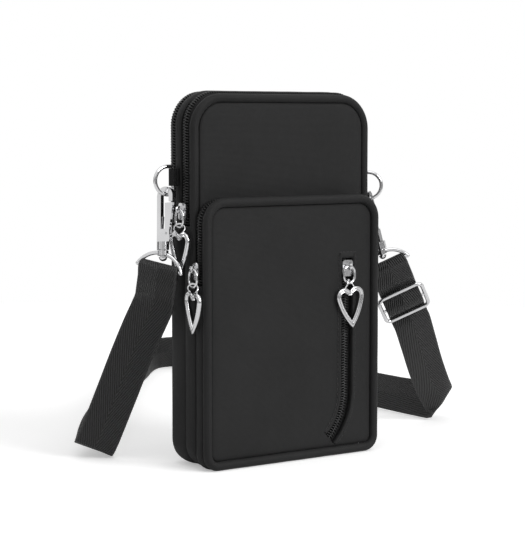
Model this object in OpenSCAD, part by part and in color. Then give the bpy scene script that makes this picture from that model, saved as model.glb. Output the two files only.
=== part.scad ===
// Phone pouch: three zipped compartments, ring tabs at the sides, snap hooks and a webbing strap.
// Millimetres. +X is right in a front view, +Y the back, +Z up. Origin: centre of the base.

/* [Pouch] */
// Width over the rolled edges of the main compartments
pouch_w = 105; // [98:1:130]
// Height of the main compartments
pouch_h = 179; // [160:1:210]
// Radius of the two top corners
pouch_top_r = 17; // [12:1:24]
// Radius of the two bottom corners
pouch_bottom_r = 12; // [9:1:18]
// Depth of the rear compartment, seam to seam
rear_depth = 9.3; // [9.3:0.1:16]
// Depth of the middle compartment, seam to seam
middle_depth = 11.4; // [11:0.1:20]
// How much lower the front panel is than the rear of the pouch
front_step = 1.5; // [0:0.5:4]
// How far the back panel is set in from the outline
back_inset = 3; // [1:0.5:5]

/* [Front pocket] */
// How much narrower the pocket is than the pouch, on each side
pocket_step = 0.7; // [0.1:0.1:5]
// Height of the pocket
pocket_h = 128.7; // [115:1:150]
// Depth of the pocket, seam to seam
pocket_depth = 9.8; // [9.6:0.1:20]
// Radius of the pocket's top corners
pocket_top_r = 12; // [8:1:18]
// Radius of the pocket's bottom corners
pocket_bottom_r = 8; // [6:1:12]

/* [Fabric] */
// Diameter of the rolled edges of the panels
roll_d = 4.2; // [3:0.1:5]
// Width of the flat binding between the two main zips
binding_w = 4.9; // [4:0.1:5.4]
// Thickness of the padded panels
panel_t = 1.6; // [1.2:0.1:1.8]
// Thickness of the plain gussets
gusset_t = 1.8; // [1.4:0.1:2.4]
// Thickness of the lining
lining_t = 0.6; // [0.4:0.1:1]

/* [Zips] */
// Width of the closed coils of the main and slant zips
coil_w = 4.6; // [4:0.1:4.7]
// Width of the closed coil of the pocket zip
small_coil_w = 3.8; // [3:0.1:4.2]
// Height of the coils above their tape
coil_t = 1.4; // [1:0.1:1.8]
// Thickness of the zip tapes
tape_t = 0.6; // [0.4:0.1:0.9]
// Height of the lower ends of the two main zips
main_zip_end = 116; // [100:1:130]
// Height of the lower ends of the pocket zip
pocket_zip_end = 88.5; // [70:1:100]
// Width of the sliders
slider_w = 6.2; // [5.4:0.1:6.4]
// Width of the sliders of the rear and pocket zips
small_slider_w = 4.6; // [4:0.1:4.8]
// Length of the sliders
slider_l = 8; // [7:0.1:10]

/* [Slant zip] */
// Height of the slot's top end
slant_top = 98.5; // [85:0.5:105]
// Distance of the slot's top end from the middle
slant_x = 32; // [20:0.5:32]
// Lean of the slot's straight stretch, in degrees
slant_lean = 0.4; // [0:0.2:6]
// Length of the slot's straight stretch
slant_l = 67; // [50:1:70]
// Radius of the slot's lower bend
slant_r = 32; // [28:1:40]
// Angle of the lower bend, in degrees
slant_bend = 46; // [20:1:46]
// Width of the slot
slot_w = 7.6; // [7.4:0.1:9]

/* [Heart pulls] */
// Width of a heart
heart_w = 16.6; // [13:0.1:18]
// Height of a heart from its lobes to its tip
heart_h = 20.4; // [17:0.1:22]
// Radius of a heart's lobes
heart_r = 4.6; // [4:0.1:5]
// Width of the heart's band
heart_band = 2.5; // [1.8:0.1:3]
// Thickness of a heart
heart_t = 1.9; // [1.4:0.1:2.2]
// Diameter of the wire of the bails and heart rings
bail_wire = 1.2; // [1:0.1:1.4]

/* [Side clips] */
// Height of the left tab
left_tab_z = 136.5; // [125:0.5:150]
// Height of the right tab
right_tab_z = 132; // [125:0.5:150]
// Width of the tabs' webbing
tab_w = 8.1; // [7:0.1:8.1]
// Diameter of the rings' wire
ring_wire = 1.8; // [1.4:0.1:2.2]
// Height of the rings between the wire's middle lines
ring_h = 13.2; // [12:0.2:16]
// Reach of the rings from their bar to the middle line of the bow
ring_reach = 9.8; // [9:0.2:13]
// Length of a hook from the jaw's middle to the end of its body
hook_l = 21.5; // [19:0.5:24]
// Thickness of a hook's body
hook_t = 2.4; // [2:0.1:3]
// Radius of the jaw
jaw_r = 2.3; // [2:0.1:3]
// Width of the jaw's band
jaw_band = 2.2; // [1.6:0.1:2.6]

/* [Strap] */
// Width of the webbing
strap_w = 20; // [18:0.5:22]
// Thickness of the webbing
strap_t = 1.4; // [1:0.1:1.8]
// Diameter of the wire of the strap rings
eye_wire = 1.9; // [1.6:0.1:2.2]
// Diameter of the wire of the strap adjuster
slide_wire = 2; // [1.6:0.1:2.4]
// Outer height of the strap adjuster
slide_h = 19.6; // [17:0.2:22]

/* [Hidden] */
$fn = 48;

// Clearances and overruns
seat_gap = 0.05;
run_gap = 0.06;
free_gap = 0.3;
slide_gap = 0.25;
over = 5;

// Fabric layers, as distances in from the outline
trim_in = 0.2;
tape_in = trim_in + coil_t;
roll_r = roll_d / 2;
roll_in = trim_in + roll_r;
panel_in = roll_in + roll_r + seat_gap;
binding_t = 1.5;
divider_t = 1;
tape_gap = 1.2;
coil_gap = 0.9;
facing_in = 2;
facing_w = 1.2;
small_gap = 0.1;

// Seam planes, front to back
depth = pocket_depth + middle_depth + rear_depth + roll_d;
pocket_y = -depth / 2 + roll_r;
front_y = pocket_y + pocket_depth;
divider_y = front_y + middle_depth;
back_y = divider_y + rear_depth;
front_h = pouch_h - front_step;
pocket_w = pouch_w - 2 * pocket_step;

// Edges of the three side walls, front to back
pocket_wall = [pocket_y + roll_r + seat_gap, front_y - roll_r - seat_gap];
middle_wall = [front_y + roll_r + seat_gap, divider_y - binding_w / 2 - seat_gap];
rear_wall = [divider_y + binding_w / 2 + seat_gap, back_y - roll_r + seat_gap];
pocket_zip_y = (pocket_wall[0] + pocket_wall[1]) / 2;
middle_zip_y = (middle_wall[0] + middle_wall[1]) / 2;
rear_zip_y = (rear_wall[0] + rear_wall[1]) / 2;

// Slant zip, from the front face of the pocket inwards
face_step = 0.4;
face_y = pocket_y - face_step;
slant_tape_y = face_y + panel_t + seat_gap;
slant_coil_w = coil_w;
tape_over = 1;
bag_w = 54;
bag_h = 98;
bag_z = 4.2;
bag_deep = 2.8;
bag_r = 8;

// Sliders, from the coil's outer face outwards
slider_rise = 6;
slide_plate = 1;
slide_floor = 0.9;
blade_t = 0.5;
blade_l = 3;
slider_r = 1.4;
crown_w = 1.3;
crown_l = 3.6;
crown_up = 1;
bail_up = 2.6;
eye_r = bail_wire / 2 + slide_gap;

// Bails and hearts
bail_r = 3.3;
bail_straight = 1.6;
bail_l = 2 * bail_r + bail_straight;
link_r = 3;
link_wire = 1.0;
link_turn = 36;
heart_side_turn = 14;
heart_steps = 12;
link_up = 1.4;
notch_up = 0.5;

// Rings and their tabs
ring_r = ring_h / 2;
ring_corner = 1.2;
tab_t = 1.2;
tab_bore = ring_wire / 2 + run_gap;
tab_r = tab_bore + tab_t;
tab_rise = 1.55;
foot_t = 0.65;
foot_share = 0.25;
cheek_share = 0.33;
crest_share = 0.9;
tab_x = pouch_w / 2 + seat_gap + tab_r;
right_tab_y = 2;
right_tab_out = 0.5;
right_tab_x = tab_x + right_tab_out;
right_ring_turn = -39;
clip_reach = 3.8;

// Hooks: the jaw's middle lies jaw_drop under the ring's wire
jaw_drop = 0.8;
jaw_outer = jaw_r + jaw_band;
nose_l = 2.6;
gate_w = 4.4;
gate_t = 1.4;
gate_foot_r = 1.5;
gate_heel = 1.2;
pivot_x = 0.9;
pivot_z = -17.6;
pin_r = 0.5;
fork_gap = 0.1;
fork_top = -15.4;
fork_floor = -19.4;
fork_x = 2.7;
hook_base = hook_l;
barrel_r = 2.9;
barrel_l = 3.7;
stem_x = -1.7;
stem_r = 1.3;
head_r = 2;
head_gap = 0.7;
boss_gap = 0.5;
boss_t = 2.2;
boss_bore = 1.65;
boss_r = 2.6;
boss_drop = jaw_drop + hook_base + barrel_l + boss_gap + boss_t / 2;
gate_drop = 0.5;
gate_top = -nose_l - gate_drop;
fork_in = 0.35;
spring_t = 0.3;
spring_l = 5.8;
spring_lean = 4;

// Strap rings: an arch over a straight bar
eye_arch_r = 12.3;
eye_half_angle = 65.6;
eye_drop = eye_arch_r * (1 - cos(eye_half_angle));
eye_span = 2 * eye_arch_r * sin(eye_half_angle);

// Places of the clips: turn of the strap ring, direction of the lean, lean of the stem,
// tilt of the bar, turn of the hook
left_turns = [-53, -125, 10, 15, -16];
right_turns = [-35, -35, 14, -11, 76];
left_end_lean = 16.5;
right_end_lean = 39.7;
end_bore = eye_wire / 2 + free_gap;
end_l = 13;
fold_in = 2;

// Strap adjuster
slide_w = 26;
slide_corner = 3;
slide_bar = 1.7;
slide_at = [84.3, 3.3, 70.5];

// Strap route: middle points, and the direction across the webbing
left_leg_route = [
    [-64, 7.4, 81.8], [-64.3, 8.3, 78.6], [-66.6, 15, 66], [-69.2, 22, 51.5], [-71.8, 29, 36],
    [-74.4, 36.2, 20.5], [-76.1, 41, 10.4], [-76.8, 43.4, 6.4], [-76.2, 45.6, 5.2],
    [-74, 49, 5.4], [-70, 55, 7.2]
];
left_leg_across = [
    [11.2, -16, -4], [11.2, -16, -4], [12.5, -14.5, -4.5], [14, -13, -5], [15, -11.5, -5.5],
    [16, -10, -6], [17, -9, -6.5], [17, -9, -7], [17, -9, -7.5],
    [16, -9, -9], [14, -9, -11]
];
run_route = [
    [-70, 55, 7.2], [-62, 68, 9.4], [-50, 86, 10.5], [-34, 108, 10.6], [-10, 140, 10.6],
    [30, 192, 10.6], [70, 243, 10.6], [96, 275, 10.6], [106, 286, 10.6], [113, 291, 10.6],
    [121, 292, 10.6], [128, 289, 10.6], [132, 282, 10.6], [134, 270, 10.6], [134, 240, 10.6],
    [134, 200, 10.6], [133, 150, 10.6], [132, 110, 10.6], [131, 83, 10.6], [130.5, 62, 10.6]
];
run_across = [
    [14, -9, -11], [8, -6, -16], [3, -2, -19], [0, 0, -20], [0, 0, -20],
    [0, 0, -20], [0, 0, -20], [0, 0, -20], [0, 0, -20], [0, 0, -20],
    [0, 0, -20], [0, 0, -20], [0, 0, -20], [0, 0, -20], [0, 0, -20],
    [0, 0, -20], [0, 0, -20], [0, 0, -20], [0, 0, -20], [-1, 0, -20]
];
right_leg_route = [
    [130.5, 62, 10.6], [131.5, 50, 10.5], [133, 42, 10], [134.3, 37, 9.8], [134.3, 34.4, 11.2],
    [130.6, 32, 14.6], [124.8, 28.2, 21.2], [115, 21.9, 33.5], [105.4, 15.6, 45.7],
    [95.7, 9.3, 58], [93.3, 8.3, 61], [91.2, 8.4, 64.8], [89.9, 7.7, 66.2],
    [84.9, 2.3, 68.3], [82.9, 1.2, 70.5], [79.8, 2.3, 77.4], [78.5, 1.6, 78.8],
    [76.5, 0, 80.4], [73.3, -2.6, 82.7]
];
right_leg_across = [
    [-1, 0, -20], [-4, 2, -19], [-8, 5, -17], [-10, 7, -15], [-11, 8, -14.5],
    [-11, 8, -14.5], [-11.5, 8.2, -14], [-12.5, 9, -12.5], [-13, 9.3, -11.5],
    [-14, 9.8, -10], [-14.4, 10, -9.5], [-14.6, 10.2, -9], [-14.8, 10.4, -8.5],
    [-14.8, 10.4, -8.5], [-14.8, 10.4, -8.5], [-14.8, 10.4, -8.5], [-14.8, 10.4, -8.5],
    [-14.8, 10.4, -8.5], [-14.8, 10.4, -8.5]
];

// Outline of a rounded panel standing on z = 0, drawn in by a distance
module outline(w, h, top_r, bottom_r, in = 0) {
    half = w / 2 - in;
    top = top_r - in;
    bottom = bottom_r - in;
    translate([-half, bottom_r]) square([2 * half, h - top_r - bottom_r]);
    translate([-half + bottom, in]) square([2 * (half - bottom), bottom_r]);
    translate([-half + top, h - in - top_r]) square([2 * (half - top), top_r]);
    for (side = [-1, 1]) {
        translate([side * (half - bottom), bottom_r]) circle(bottom);
        translate([side * (half - top), h - top_r]) circle(top);
    }
}

module pouch_outline(h, in) {
    outline(pouch_w, h, pouch_top_r, pouch_bottom_r, in);
}

module pocket_outline(in) {
    outline(pocket_w, pocket_h, pocket_top_r, pocket_bottom_r, in);
}

// Stands a flat outline up, from depth y0 to depth y1
module stand(y0, y1) {
    translate([0, y1, 0]) rotate([90, 0, 0]) linear_extrude(y1 - y0) children();
}

// Closed side wall between two distances in from the outline
module pouch_wall(h, in, t, y0, y1) {
    difference() {
        stand(y0, y1) pouch_outline(h, in);
        stand(y0 - over, y1 + over) pouch_outline(h, in + t);
    }
}

module pocket_wall_band(in, t, y0, y1) {
    difference() {
        stand(y0, y1) pocket_outline(in);
        stand(y0 - over, y1 + over) pocket_outline(in + t);
    }
}

// Keeps what is above or below a height
module above(z) {
    difference() {
        children();
        translate([-pouch_w, -pouch_w, -over]) cube([2 * pouch_w, 2 * pouch_w, z + over]);
    }
}

module below(z) {
    intersection() {
        children();
        translate([-pouch_w, -pouch_w, -over]) cube([2 * pouch_w, 2 * pouch_w, z + over]);
    }
}

// Rolled edge: a round cord that follows an outline
module roll(w, h, top_r, bottom_r, in, y) {
    half = w / 2 - in;
    for (side = [-1, 1]) {
        translate([side * half, y, bottom_r]) cylinder(r = roll_r, h = h - top_r - bottom_r);
        translate([side * (half - top_r + in), y, h - top_r])
            rotate([90, 0, 90 - 90 * side])
                rotate_extrude(angle = 90) translate([top_r - in, 0]) circle(roll_r);
        translate([side * (half - bottom_r + in), y, bottom_r])
            rotate([-90, 0, 90 - 90 * side])
                rotate_extrude(angle = 90) translate([bottom_r - in, 0]) circle(roll_r);
    }
    translate([-half + bottom_r - in, y, in])
        rotate([0, 90, 0]) cylinder(r = roll_r, h = 2 * (half - bottom_r + in));
    translate([-half + top_r - in, y, h - in])
        rotate([0, 90, 0]) cylinder(r = roll_r, h = 2 * (half - top_r + in));
}

// Main compartments
nylon = [0.17, 0.17, 0.18];
trim = [0.11, 0.11, 0.12];
chrome = [0.78, 0.78, 0.8];

module back_panel() {
    color(nylon) stand(back_y + seat_gap, back_y + seat_gap + panel_t)
        pouch_outline(pouch_h, back_inset + panel_in);
}

module back_piping() {
    color(trim) roll(pouch_w, pouch_h, pouch_top_r, pouch_bottom_r, back_inset + roll_in, back_y);
}

module back_facing() {
    color(nylon) pouch_wall(pouch_h, facing_in, facing_w, rear_wall[1] + seat_gap,
        rear_wall[1] + seat_gap + facing_w);
}

module rear_gusset() {
    color(nylon) below(main_zip_end) pouch_wall(pouch_h, 0, gusset_t, rear_wall[0], rear_wall[1]);
}

// Tape of a zip: two strips, with the slider's blade between them
module main_tape(wall, mid) {
    difference() {
        above(main_zip_end + small_gap) pouch_wall(pouch_h, tape_in, tape_t, wall[0], wall[1]);
        stand(mid - tape_gap / 2, mid + tape_gap / 2) pouch_outline(pouch_h + over, 0);
    }
}

module main_coil(mid) {
    difference() {
        above(main_zip_end + small_gap)
            pouch_wall(pouch_h, trim_in, coil_t, mid - coil_w / 2, mid + coil_w / 2);
        stand(mid - coil_gap / 2, mid + coil_gap / 2) pouch_outline(pouch_h + over, 0);
    }
}

module rear_zip_tape() { color(trim) main_tape(rear_wall, rear_zip_y); }
module rear_zip_coil() { color(trim) main_coil(rear_zip_y); }

module divider_panel() {
    color(nylon) stand(divider_y - divider_t / 2, divider_y + divider_t / 2)
        pouch_outline(pouch_h, trim_in + binding_t + seat_gap);
}

module divider_binding() {
    color(trim) pouch_wall(pouch_h, trim_in, binding_t,
        divider_y - binding_w / 2, divider_y + binding_w / 2);
}

module middle_gusset() {
    color(nylon)
        below(main_zip_end) pouch_wall(pouch_h, 0, gusset_t, middle_wall[0], middle_wall[1]);
}

module middle_zip_tape() { color(trim) main_tape(middle_wall, middle_zip_y); }
module middle_zip_coil() { color(trim) main_coil(middle_zip_y); }

module front_panel() {
    color(nylon) stand(front_y - seat_gap - panel_t, front_y - seat_gap)
        pouch_outline(front_h, panel_in);
}

module front_piping() {
    color(trim) roll(pouch_w, front_h, pouch_top_r, pouch_bottom_r, roll_in, front_y);
}

// Front pocket
module pocket_gusset() {
    color(nylon) below(pocket_zip_end) pocket_wall_band(0, gusset_t, pocket_wall[0], pocket_wall[1]);
}

module pocket_zip_tape() {
    color(trim) difference() {
        above(pocket_zip_end + small_gap)
            pocket_wall_band(tape_in, tape_t, pocket_wall[0], pocket_wall[1]);
        stand(pocket_zip_y - tape_gap / 2, pocket_zip_y + tape_gap / 2)
            outline(pocket_w, pocket_h + over, pocket_top_r, pocket_bottom_r);
    }
}

module pocket_zip_coil() {
    color(trim) difference() {
        above(pocket_zip_end + small_gap) pocket_wall_band(trim_in, coil_t,
            pocket_zip_y - small_coil_w / 2, pocket_zip_y + small_coil_w / 2);
        stand(pocket_zip_y - coil_gap / 2, pocket_zip_y + coil_gap / 2)
            outline(pocket_w, pocket_h + over, pocket_top_r, pocket_bottom_r);
    }
}

// Strip along the slant zip: straight, then a bend towards the bottom seam
module slant_strip(x0, x1, extra = 0) {
    translate([slant_x, slant_top]) rotate(-slant_lean) {
        translate([x0, -slant_l]) square([x1 - x0, slant_l + extra]);
        translate([-slant_r, -slant_l]) difference() {
            intersection() {
                circle(slant_r + x1);
                polygon([[0, 0], 2 * slant_r * [1, 0], 2 * slant_r * [cos(slant_bend), -sin(slant_bend)]]);
            }
            circle(slant_r + x0);
        }
    }
}

module pocket_panel() {
    color(nylon) difference() {
        stand(face_y, face_y + panel_t) pocket_outline(panel_in);
        stand(face_y - over, face_y + panel_t + over) slant_strip(-slot_w / 2, slot_w / 2);
    }
}

module pocket_piping() {
    color(trim)
        roll(pocket_w, pocket_h, pocket_top_r, pocket_bottom_r, roll_in, pocket_y);
}

module slant_zip_tape() {
    wide = slot_w / 2 + tape_over;
    color(trim) stand(slant_tape_y, slant_tape_y + tape_t) {
        slant_strip(-wide, -tape_gap / 2);
        slant_strip(tape_gap / 2, wide);
    }
}

module slant_zip_coil() {
    color(trim) stand(slant_tape_y - coil_t, slant_tape_y - small_gap / 2) {
        slant_strip(-slant_coil_w / 2, -coil_gap / 2);
        slant_strip(coil_gap / 2, slant_coil_w / 2);
    }
}

// Lining bag behind the slant zip, open towards it
module slant_pocket_bag() {
    y0 = face_y + panel_t + seat_gap;
    x0 = pocket_w / 2 - panel_in - seat_gap - bag_w / 2;
    color(nylon) translate([x0, 0, bag_z]) difference() {
        stand(y0, y0 + bag_deep) outline(bag_w, bag_h, bag_r, bag_r);
        stand(y0 - over, y0 + bag_deep - lining_t) outline(bag_w, bag_h, bag_r, bag_r, lining_t);
    }
}

// Sliders: face frame with x across the zip, y up along it, z outwards from the coil
module on_face(turn, at) {
    translate(at) rotate([0, 0, turn]) rotate([90, 0, 0]) children();
}

module slider(top_w, floor_w) {
    color(chrome) difference() {
        union() {
            translate([0, -slider_l / 2, slide_gap]) linear_extrude(slide_plate)
                outline(top_w, slider_l, slider_r, slider_r);
            translate([0, -slider_l / 2, -coil_t - tape_t - free_gap - slide_floor])
                linear_extrude(slide_floor) outline(floor_w, slider_l, slider_r, slider_r);
            translate([-blade_t / 2, -blade_l / 2, -coil_t - tape_t - free_gap - slide_floor / 2])
                cube([blade_t, blade_l, coil_t + tape_t + free_gap + slide_gap + slide_floor]);
            translate([-crown_w / 2, crown_up - crown_l / 2, slide_gap + slide_plate / 2])
                cube([crown_w, crown_l, bail_up - slide_gap - slide_plate / 2]);
            translate([-crown_w / 2, crown_up, bail_up]) rotate([0, 90, 0])
                cylinder(r = crown_l / 2, h = crown_w);
        }
        translate([-over, crown_up, bail_up]) rotate([0, 90, 0]) cylinder(r = eye_r, h = 2 * over);
    }
}

// Oval wire loop, hung in the crown
module bail() {
    color(chrome) translate([0, crown_up - bail_r, bail_up]) {
        rotate_extrude(angle = 180) translate([bail_r, 0]) circle(bail_wire / 2, $fn = 24);
        translate([0, -bail_straight, 0]) rotate([0, 0, 180])
            rotate_extrude(angle = 180) translate([bail_r, 0]) circle(bail_wire / 2, $fn = 24);
        for (side = [-1, 1]) translate([side * bail_r, 0, 0]) rotate([90, 0, 0])
            cylinder(r = bail_wire / 2, h = bail_straight, $fn = 24);
    }
}

// Heart outline about the middle between its lobes: each side is an arc that runs on from its lobe
module heart_shape(in) {
    lobe_x = heart_w / 2 - heart_r;
    tip = heart_h - heart_r;
    back = (lobe_x * lobe_x + tip * tip - heart_r * heart_r)
        / (2 * (heart_r + lobe_x * cos(heart_side_turn) - tip * sin(heart_side_turn)));
    middle = [lobe_x - back * cos(heart_side_turn), back * sin(heart_side_turn)];
    r = back + heart_r - in;
    tip_turn = acos(-middle[0] / r);
    side = [for (i = [0 : heart_steps])
        let (a = -heart_side_turn - (tip_turn - heart_side_turn) * i / heart_steps)
        middle + r * [cos(a), sin(a)]];
    for (x = [-lobe_x, lobe_x]) translate([x, 0]) circle(heart_r - in);
    polygon(concat([[-lobe_x, 0], [lobe_x, 0]], side,
        [for (i = [heart_steps - 1 : -1 : 0]) [-side[i][0], side[i][1]]]));
}

module heart() {
    lobe_x = heart_w / 2 - heart_r;
    notch = sqrt(heart_r * heart_r - lobe_x * lobe_x);
    link_y = notch - notch_up + link_r;
    color(chrome) translate([0, crown_up - bail_l - link_up, bail_up]) {
        rotate([0, link_turn, 0])
            rotate_extrude() translate([link_r, 0]) circle(link_wire / 2, $fn = 24);
        translate([0, -link_y, -heart_t / 2]) linear_extrude(heart_t) difference() {
            heart_shape(0);
            heart_shape(heart_band);
        }
    }
}

middle_at = [-pouch_w / 2 + trim_in, middle_zip_y, main_zip_end + slider_rise];
rear_at = [pouch_w / 2 - trim_in, rear_zip_y, main_zip_end + slider_rise];
pocket_at = [-pocket_w / 2 + trim_in, pocket_zip_y, pocket_zip_end + slider_rise];
slant_at = [slant_x - slider_rise * sin(slant_lean), slant_tape_y - coil_t,
    slant_top - slider_rise * cos(slant_lean)];

module middle_pull() { on_face(-90, middle_at) children(); }
module rear_pull() { on_face(90, rear_at) children(); }
module pocket_pull() { on_face(-90, pocket_at) children(); }
module slant_pull() { on_face(0, slant_at) rotate([0, 0, -slant_lean]) children(); }

module middle_slider() { middle_pull() slider(slider_w, slider_w); }
module rear_slider() { rear_pull() slider(small_slider_w, small_slider_w - free_gap); }
module pocket_slider() { pocket_pull() slider(small_slider_w, small_slider_w); }
module slant_slider() { slant_pull() slider(slider_w, slider_w); }
module middle_bail() { middle_pull() bail(); }
module rear_bail() { rear_pull() bail(); }
module pocket_bail() { pocket_pull() bail(); }
module slant_bail() { slant_pull() bail(); }
module middle_heart() { middle_pull() heart(); }
module rear_heart() { rear_pull() heart(); }
module pocket_heart() { pocket_pull() heart(); }
module slant_heart() { slant_pull() heart(); }

// Side tabs: a webbing sleeve round the ring's bar, with a sewn foot
module tab(x, y, z) {
    side = sign(x);
    foot_x = side * (pouch_w / 2 + seat_gap + foot_t / 2);
    color(trim) translate([0, 0, z - tab_w / 2 + tab_rise]) difference() {
        union() {
            translate([x, y, 0]) cylinder(r = tab_r, h = tab_w);
            translate([foot_x - foot_t / 2, divider_y - binding_w / 2, 0])
                cube([foot_t, binding_w, tab_w]);
            linear_extrude(tab_w) polygon([
                [foot_x, divider_y - binding_w / 2], [foot_x, divider_y + foot_share * binding_w],
                [x + side * cheek_share * tab_r, y + crest_share * tab_r], [x, y]
            ]);
        }
        translate([x, y, -over]) cylinder(r = tab_bore, h = tab_w + 2 * over);
    }
}

module left_tab() { tab(-tab_x, divider_y, left_tab_z); }
module right_tab() { tab(right_tab_x, right_tab_y, right_tab_z); }

// Wire ring: a straight bar in the tab, and a round bow
module wire_ring() {
    mid = ring_reach - ring_r;
    bar = ring_h - 2 * ring_corner;
    color(chrome) {
        translate([0, 0, -bar / 2]) cylinder(r = ring_wire / 2, h = bar);
        for (up = [-1, 1]) {
            translate([ring_corner, 0, up * bar / 2]) rotate([90, 0, 0])
                rotate([0, 0, 135 - 45 * up])
                    rotate_extrude(angle = 90) translate([ring_corner, 0]) circle(ring_wire / 2);
            translate([ring_corner, 0, up * ring_r]) rotate([0, 90, 0])
                cylinder(r = ring_wire / 2, h = mid - ring_corner);
        }
        translate([mid, 0, 0]) rotate([90, 0, 0]) rotate([0, 0, -90])
            rotate_extrude(angle = 180) translate([ring_r, 0]) circle(ring_wire / 2);
    }
}

left_ring_at = [-tab_x, divider_y, left_tab_z];
right_ring_at = [right_tab_x, right_tab_y, right_tab_z];
module left_ring() { translate(left_ring_at) rotate([0, 0, 180]) wire_ring(); }
module right_ring() { translate(right_ring_at) rotate([0, 0, right_ring_turn]) wire_ring(); }

// Clip frame: origin in the ring's wire, z up along the hook's stem
clip_past = clip_reach - ring_reach + ring_r;
clip_z = -sqrt(ring_r * ring_r - clip_past * clip_past);
left_clip_at = left_ring_at + [-clip_reach, 0, clip_z];
right_clip_at = right_ring_at
    + [clip_reach * cos(right_ring_turn), clip_reach * sin(right_ring_turn), clip_z];

module clip_frame(at, clip) {
    translate(at) rotate([0, 0, clip[1]]) rotate([0, -clip[2], 0]) rotate([0, 0, clip[0] - clip[1]])
        children();
}

module hook_frame(at, clip) {
    clip_frame(at, clip) rotate([0, 0, clip[4]]) translate([0, 0, -jaw_drop]) children();
}

// Flat piece in the hook's own plane
module slab(t) {
    rotate([90, 0, 0]) linear_extrude(t, center = true) children();
}

module hook_body() {
    head_z = -hook_base - barrel_l - boss_gap - boss_t - head_gap;
    color(chrome) difference() {
        union() {
            slab(hook_t) {
                difference() {
                    circle(jaw_outer);
                    circle(jaw_r);
                    translate([-over, -2 * over]) square([2 * over, 2 * over]);
                }
                translate([-jaw_outer, fork_top]) square([jaw_band, -fork_top]);
                translate([jaw_r, -nose_l]) square([jaw_band, nose_l]);
                translate([-jaw_outer, -hook_base])
                    square([fork_x + jaw_outer, hook_base + fork_top]);
            }
            translate([stem_x, 0, -hook_base - barrel_l]) cylinder(r = barrel_r, h = barrel_l);
            translate([stem_x, 0, head_z]) cylinder(r = stem_r, h = -head_z - hook_base);
            intersection() {
                translate([stem_x, 0, head_z]) sphere(head_r);
                translate([-over, -over, head_z - over]) cube([2 * over, 2 * over, over]);
            }
        }
        translate([pivot_x - gate_foot_r - fork_in, -gate_t / 2 - fork_gap, fork_floor])
            cube([2 * over, gate_t + 2 * fork_gap, fork_top - fork_floor + fork_gap]);
        translate([pivot_x, over, pivot_z]) rotate([90, 0, 0])
            cylinder(r = pin_r + seat_gap, h = 2 * over);
    }
}

module hook_gate() {
    color(chrome) difference() {
        union() {
            slab(gate_t) polygon([
                [pivot_x - gate_foot_r + fork_in, gate_top], [jaw_outer - free_gap, gate_top],
                [pivot_x + gate_heel, pivot_z], [pivot_x - gate_heel, pivot_z]
            ]);
            translate([pivot_x, gate_t / 2, pivot_z]) rotate([90, 0, 0])
                cylinder(r = gate_foot_r, h = gate_t);
        }
        translate([pivot_x, over, pivot_z]) rotate([90, 0, 0])
            cylinder(r = pin_r + run_gap, h = 2 * over);
    }
}

module hook_pin() {
    color(chrome) translate([pivot_x, hook_t / 2, pivot_z]) rotate([90, 0, 0])
        cylinder(r = pin_r, h = hook_t);
}

// Leaf that stands beside the gate, on the inner side of the shank
module hook_spring() {
    color("silver") translate([-jaw_r + seat_gap, -gate_t / 2, fork_top + seat_gap])
        rotate([0, spring_lean, 0]) cube([spring_t, gate_t, spring_l]);
}

module left_hook() { hook_frame(left_clip_at, left_turns) hook_body(); }
module right_hook() { hook_frame(right_clip_at, right_turns) hook_body(); }
module left_gate() { hook_frame(left_clip_at, left_turns) hook_gate(); }
module right_gate() { hook_frame(right_clip_at, right_turns) hook_gate(); }
module left_gate_pin() { hook_frame(left_clip_at, left_turns) hook_pin(); }
module right_gate_pin() { hook_frame(right_clip_at, right_turns) hook_pin(); }
module left_gate_spring() { hook_frame(left_clip_at, left_turns) hook_spring(); }
module right_gate_spring() { hook_frame(right_clip_at, right_turns) hook_spring(); }

// Frame of a strap ring: origin in the middle of its boss
module boss_frame(at, clip) {
    clip_frame(at, clip)
        translate([stem_x * cos(clip[4]), stem_x * sin(clip[4]), -boss_drop]) children();
}

module strap_ring(tilt) {
    color(chrome) difference() {
        union() {
            translate([0, 0, -boss_t / 2]) cylinder(r = boss_r, h = boss_t);
            rotate([0, tilt, 0]) {
                translate([0, 0, -eye_arch_r]) rotate([90, 0, 0]) rotate([0, 0, 90 - eye_half_angle])
                    rotate_extrude(angle = 2 * eye_half_angle)
                        translate([eye_arch_r, 0]) circle(eye_wire / 2);
                translate([-eye_span / 2, 0, -eye_drop]) rotate([0, 90, 0])
                    cylinder(r = eye_wire / 2, h = eye_span);
                for (side = [-1, 1]) translate([side * eye_span / 2, 0, -eye_drop])
                    sphere(eye_wire / 2 + small_gap);
            }
        }
        translate([0, 0, -over]) cylinder(r = boss_bore, h = 2 * over);
    }
}

module left_strap_ring() { boss_frame(left_clip_at, left_turns) strap_ring(left_turns[3]); }
module right_strap_ring() { boss_frame(right_clip_at, right_turns) strap_ring(right_turns[3]); }

// Sewn end of the webbing, folded round the bar of a strap ring
module strap_end(tilt, lean) {
    color(nylon) rotate([0, tilt, 0]) translate([0, 0, -eye_drop]) rotate([lean, 0, 0])
        difference() {
            union() {
                translate([-strap_w / 2 + fold_in, 0, 0]) rotate([0, 90, 0])
                    cylinder(r = end_bore + strap_t, h = strap_w - 2 * fold_in);
                translate([-strap_w / 2, -strap_t, -end_l]) cube([strap_w, 2 * strap_t, end_l]);
            }
            translate([-strap_w, 0, 0]) rotate([0, 90, 0]) cylinder(r = end_bore, h = 2 * strap_w);
        }
}

module left_strap_end() {
    boss_frame(left_clip_at, left_turns) strap_end(left_turns[3], left_end_lean);
}

module right_strap_end() {
    boss_frame(right_clip_at, right_turns) strap_end(right_turns[3], right_end_lean);
}

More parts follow.
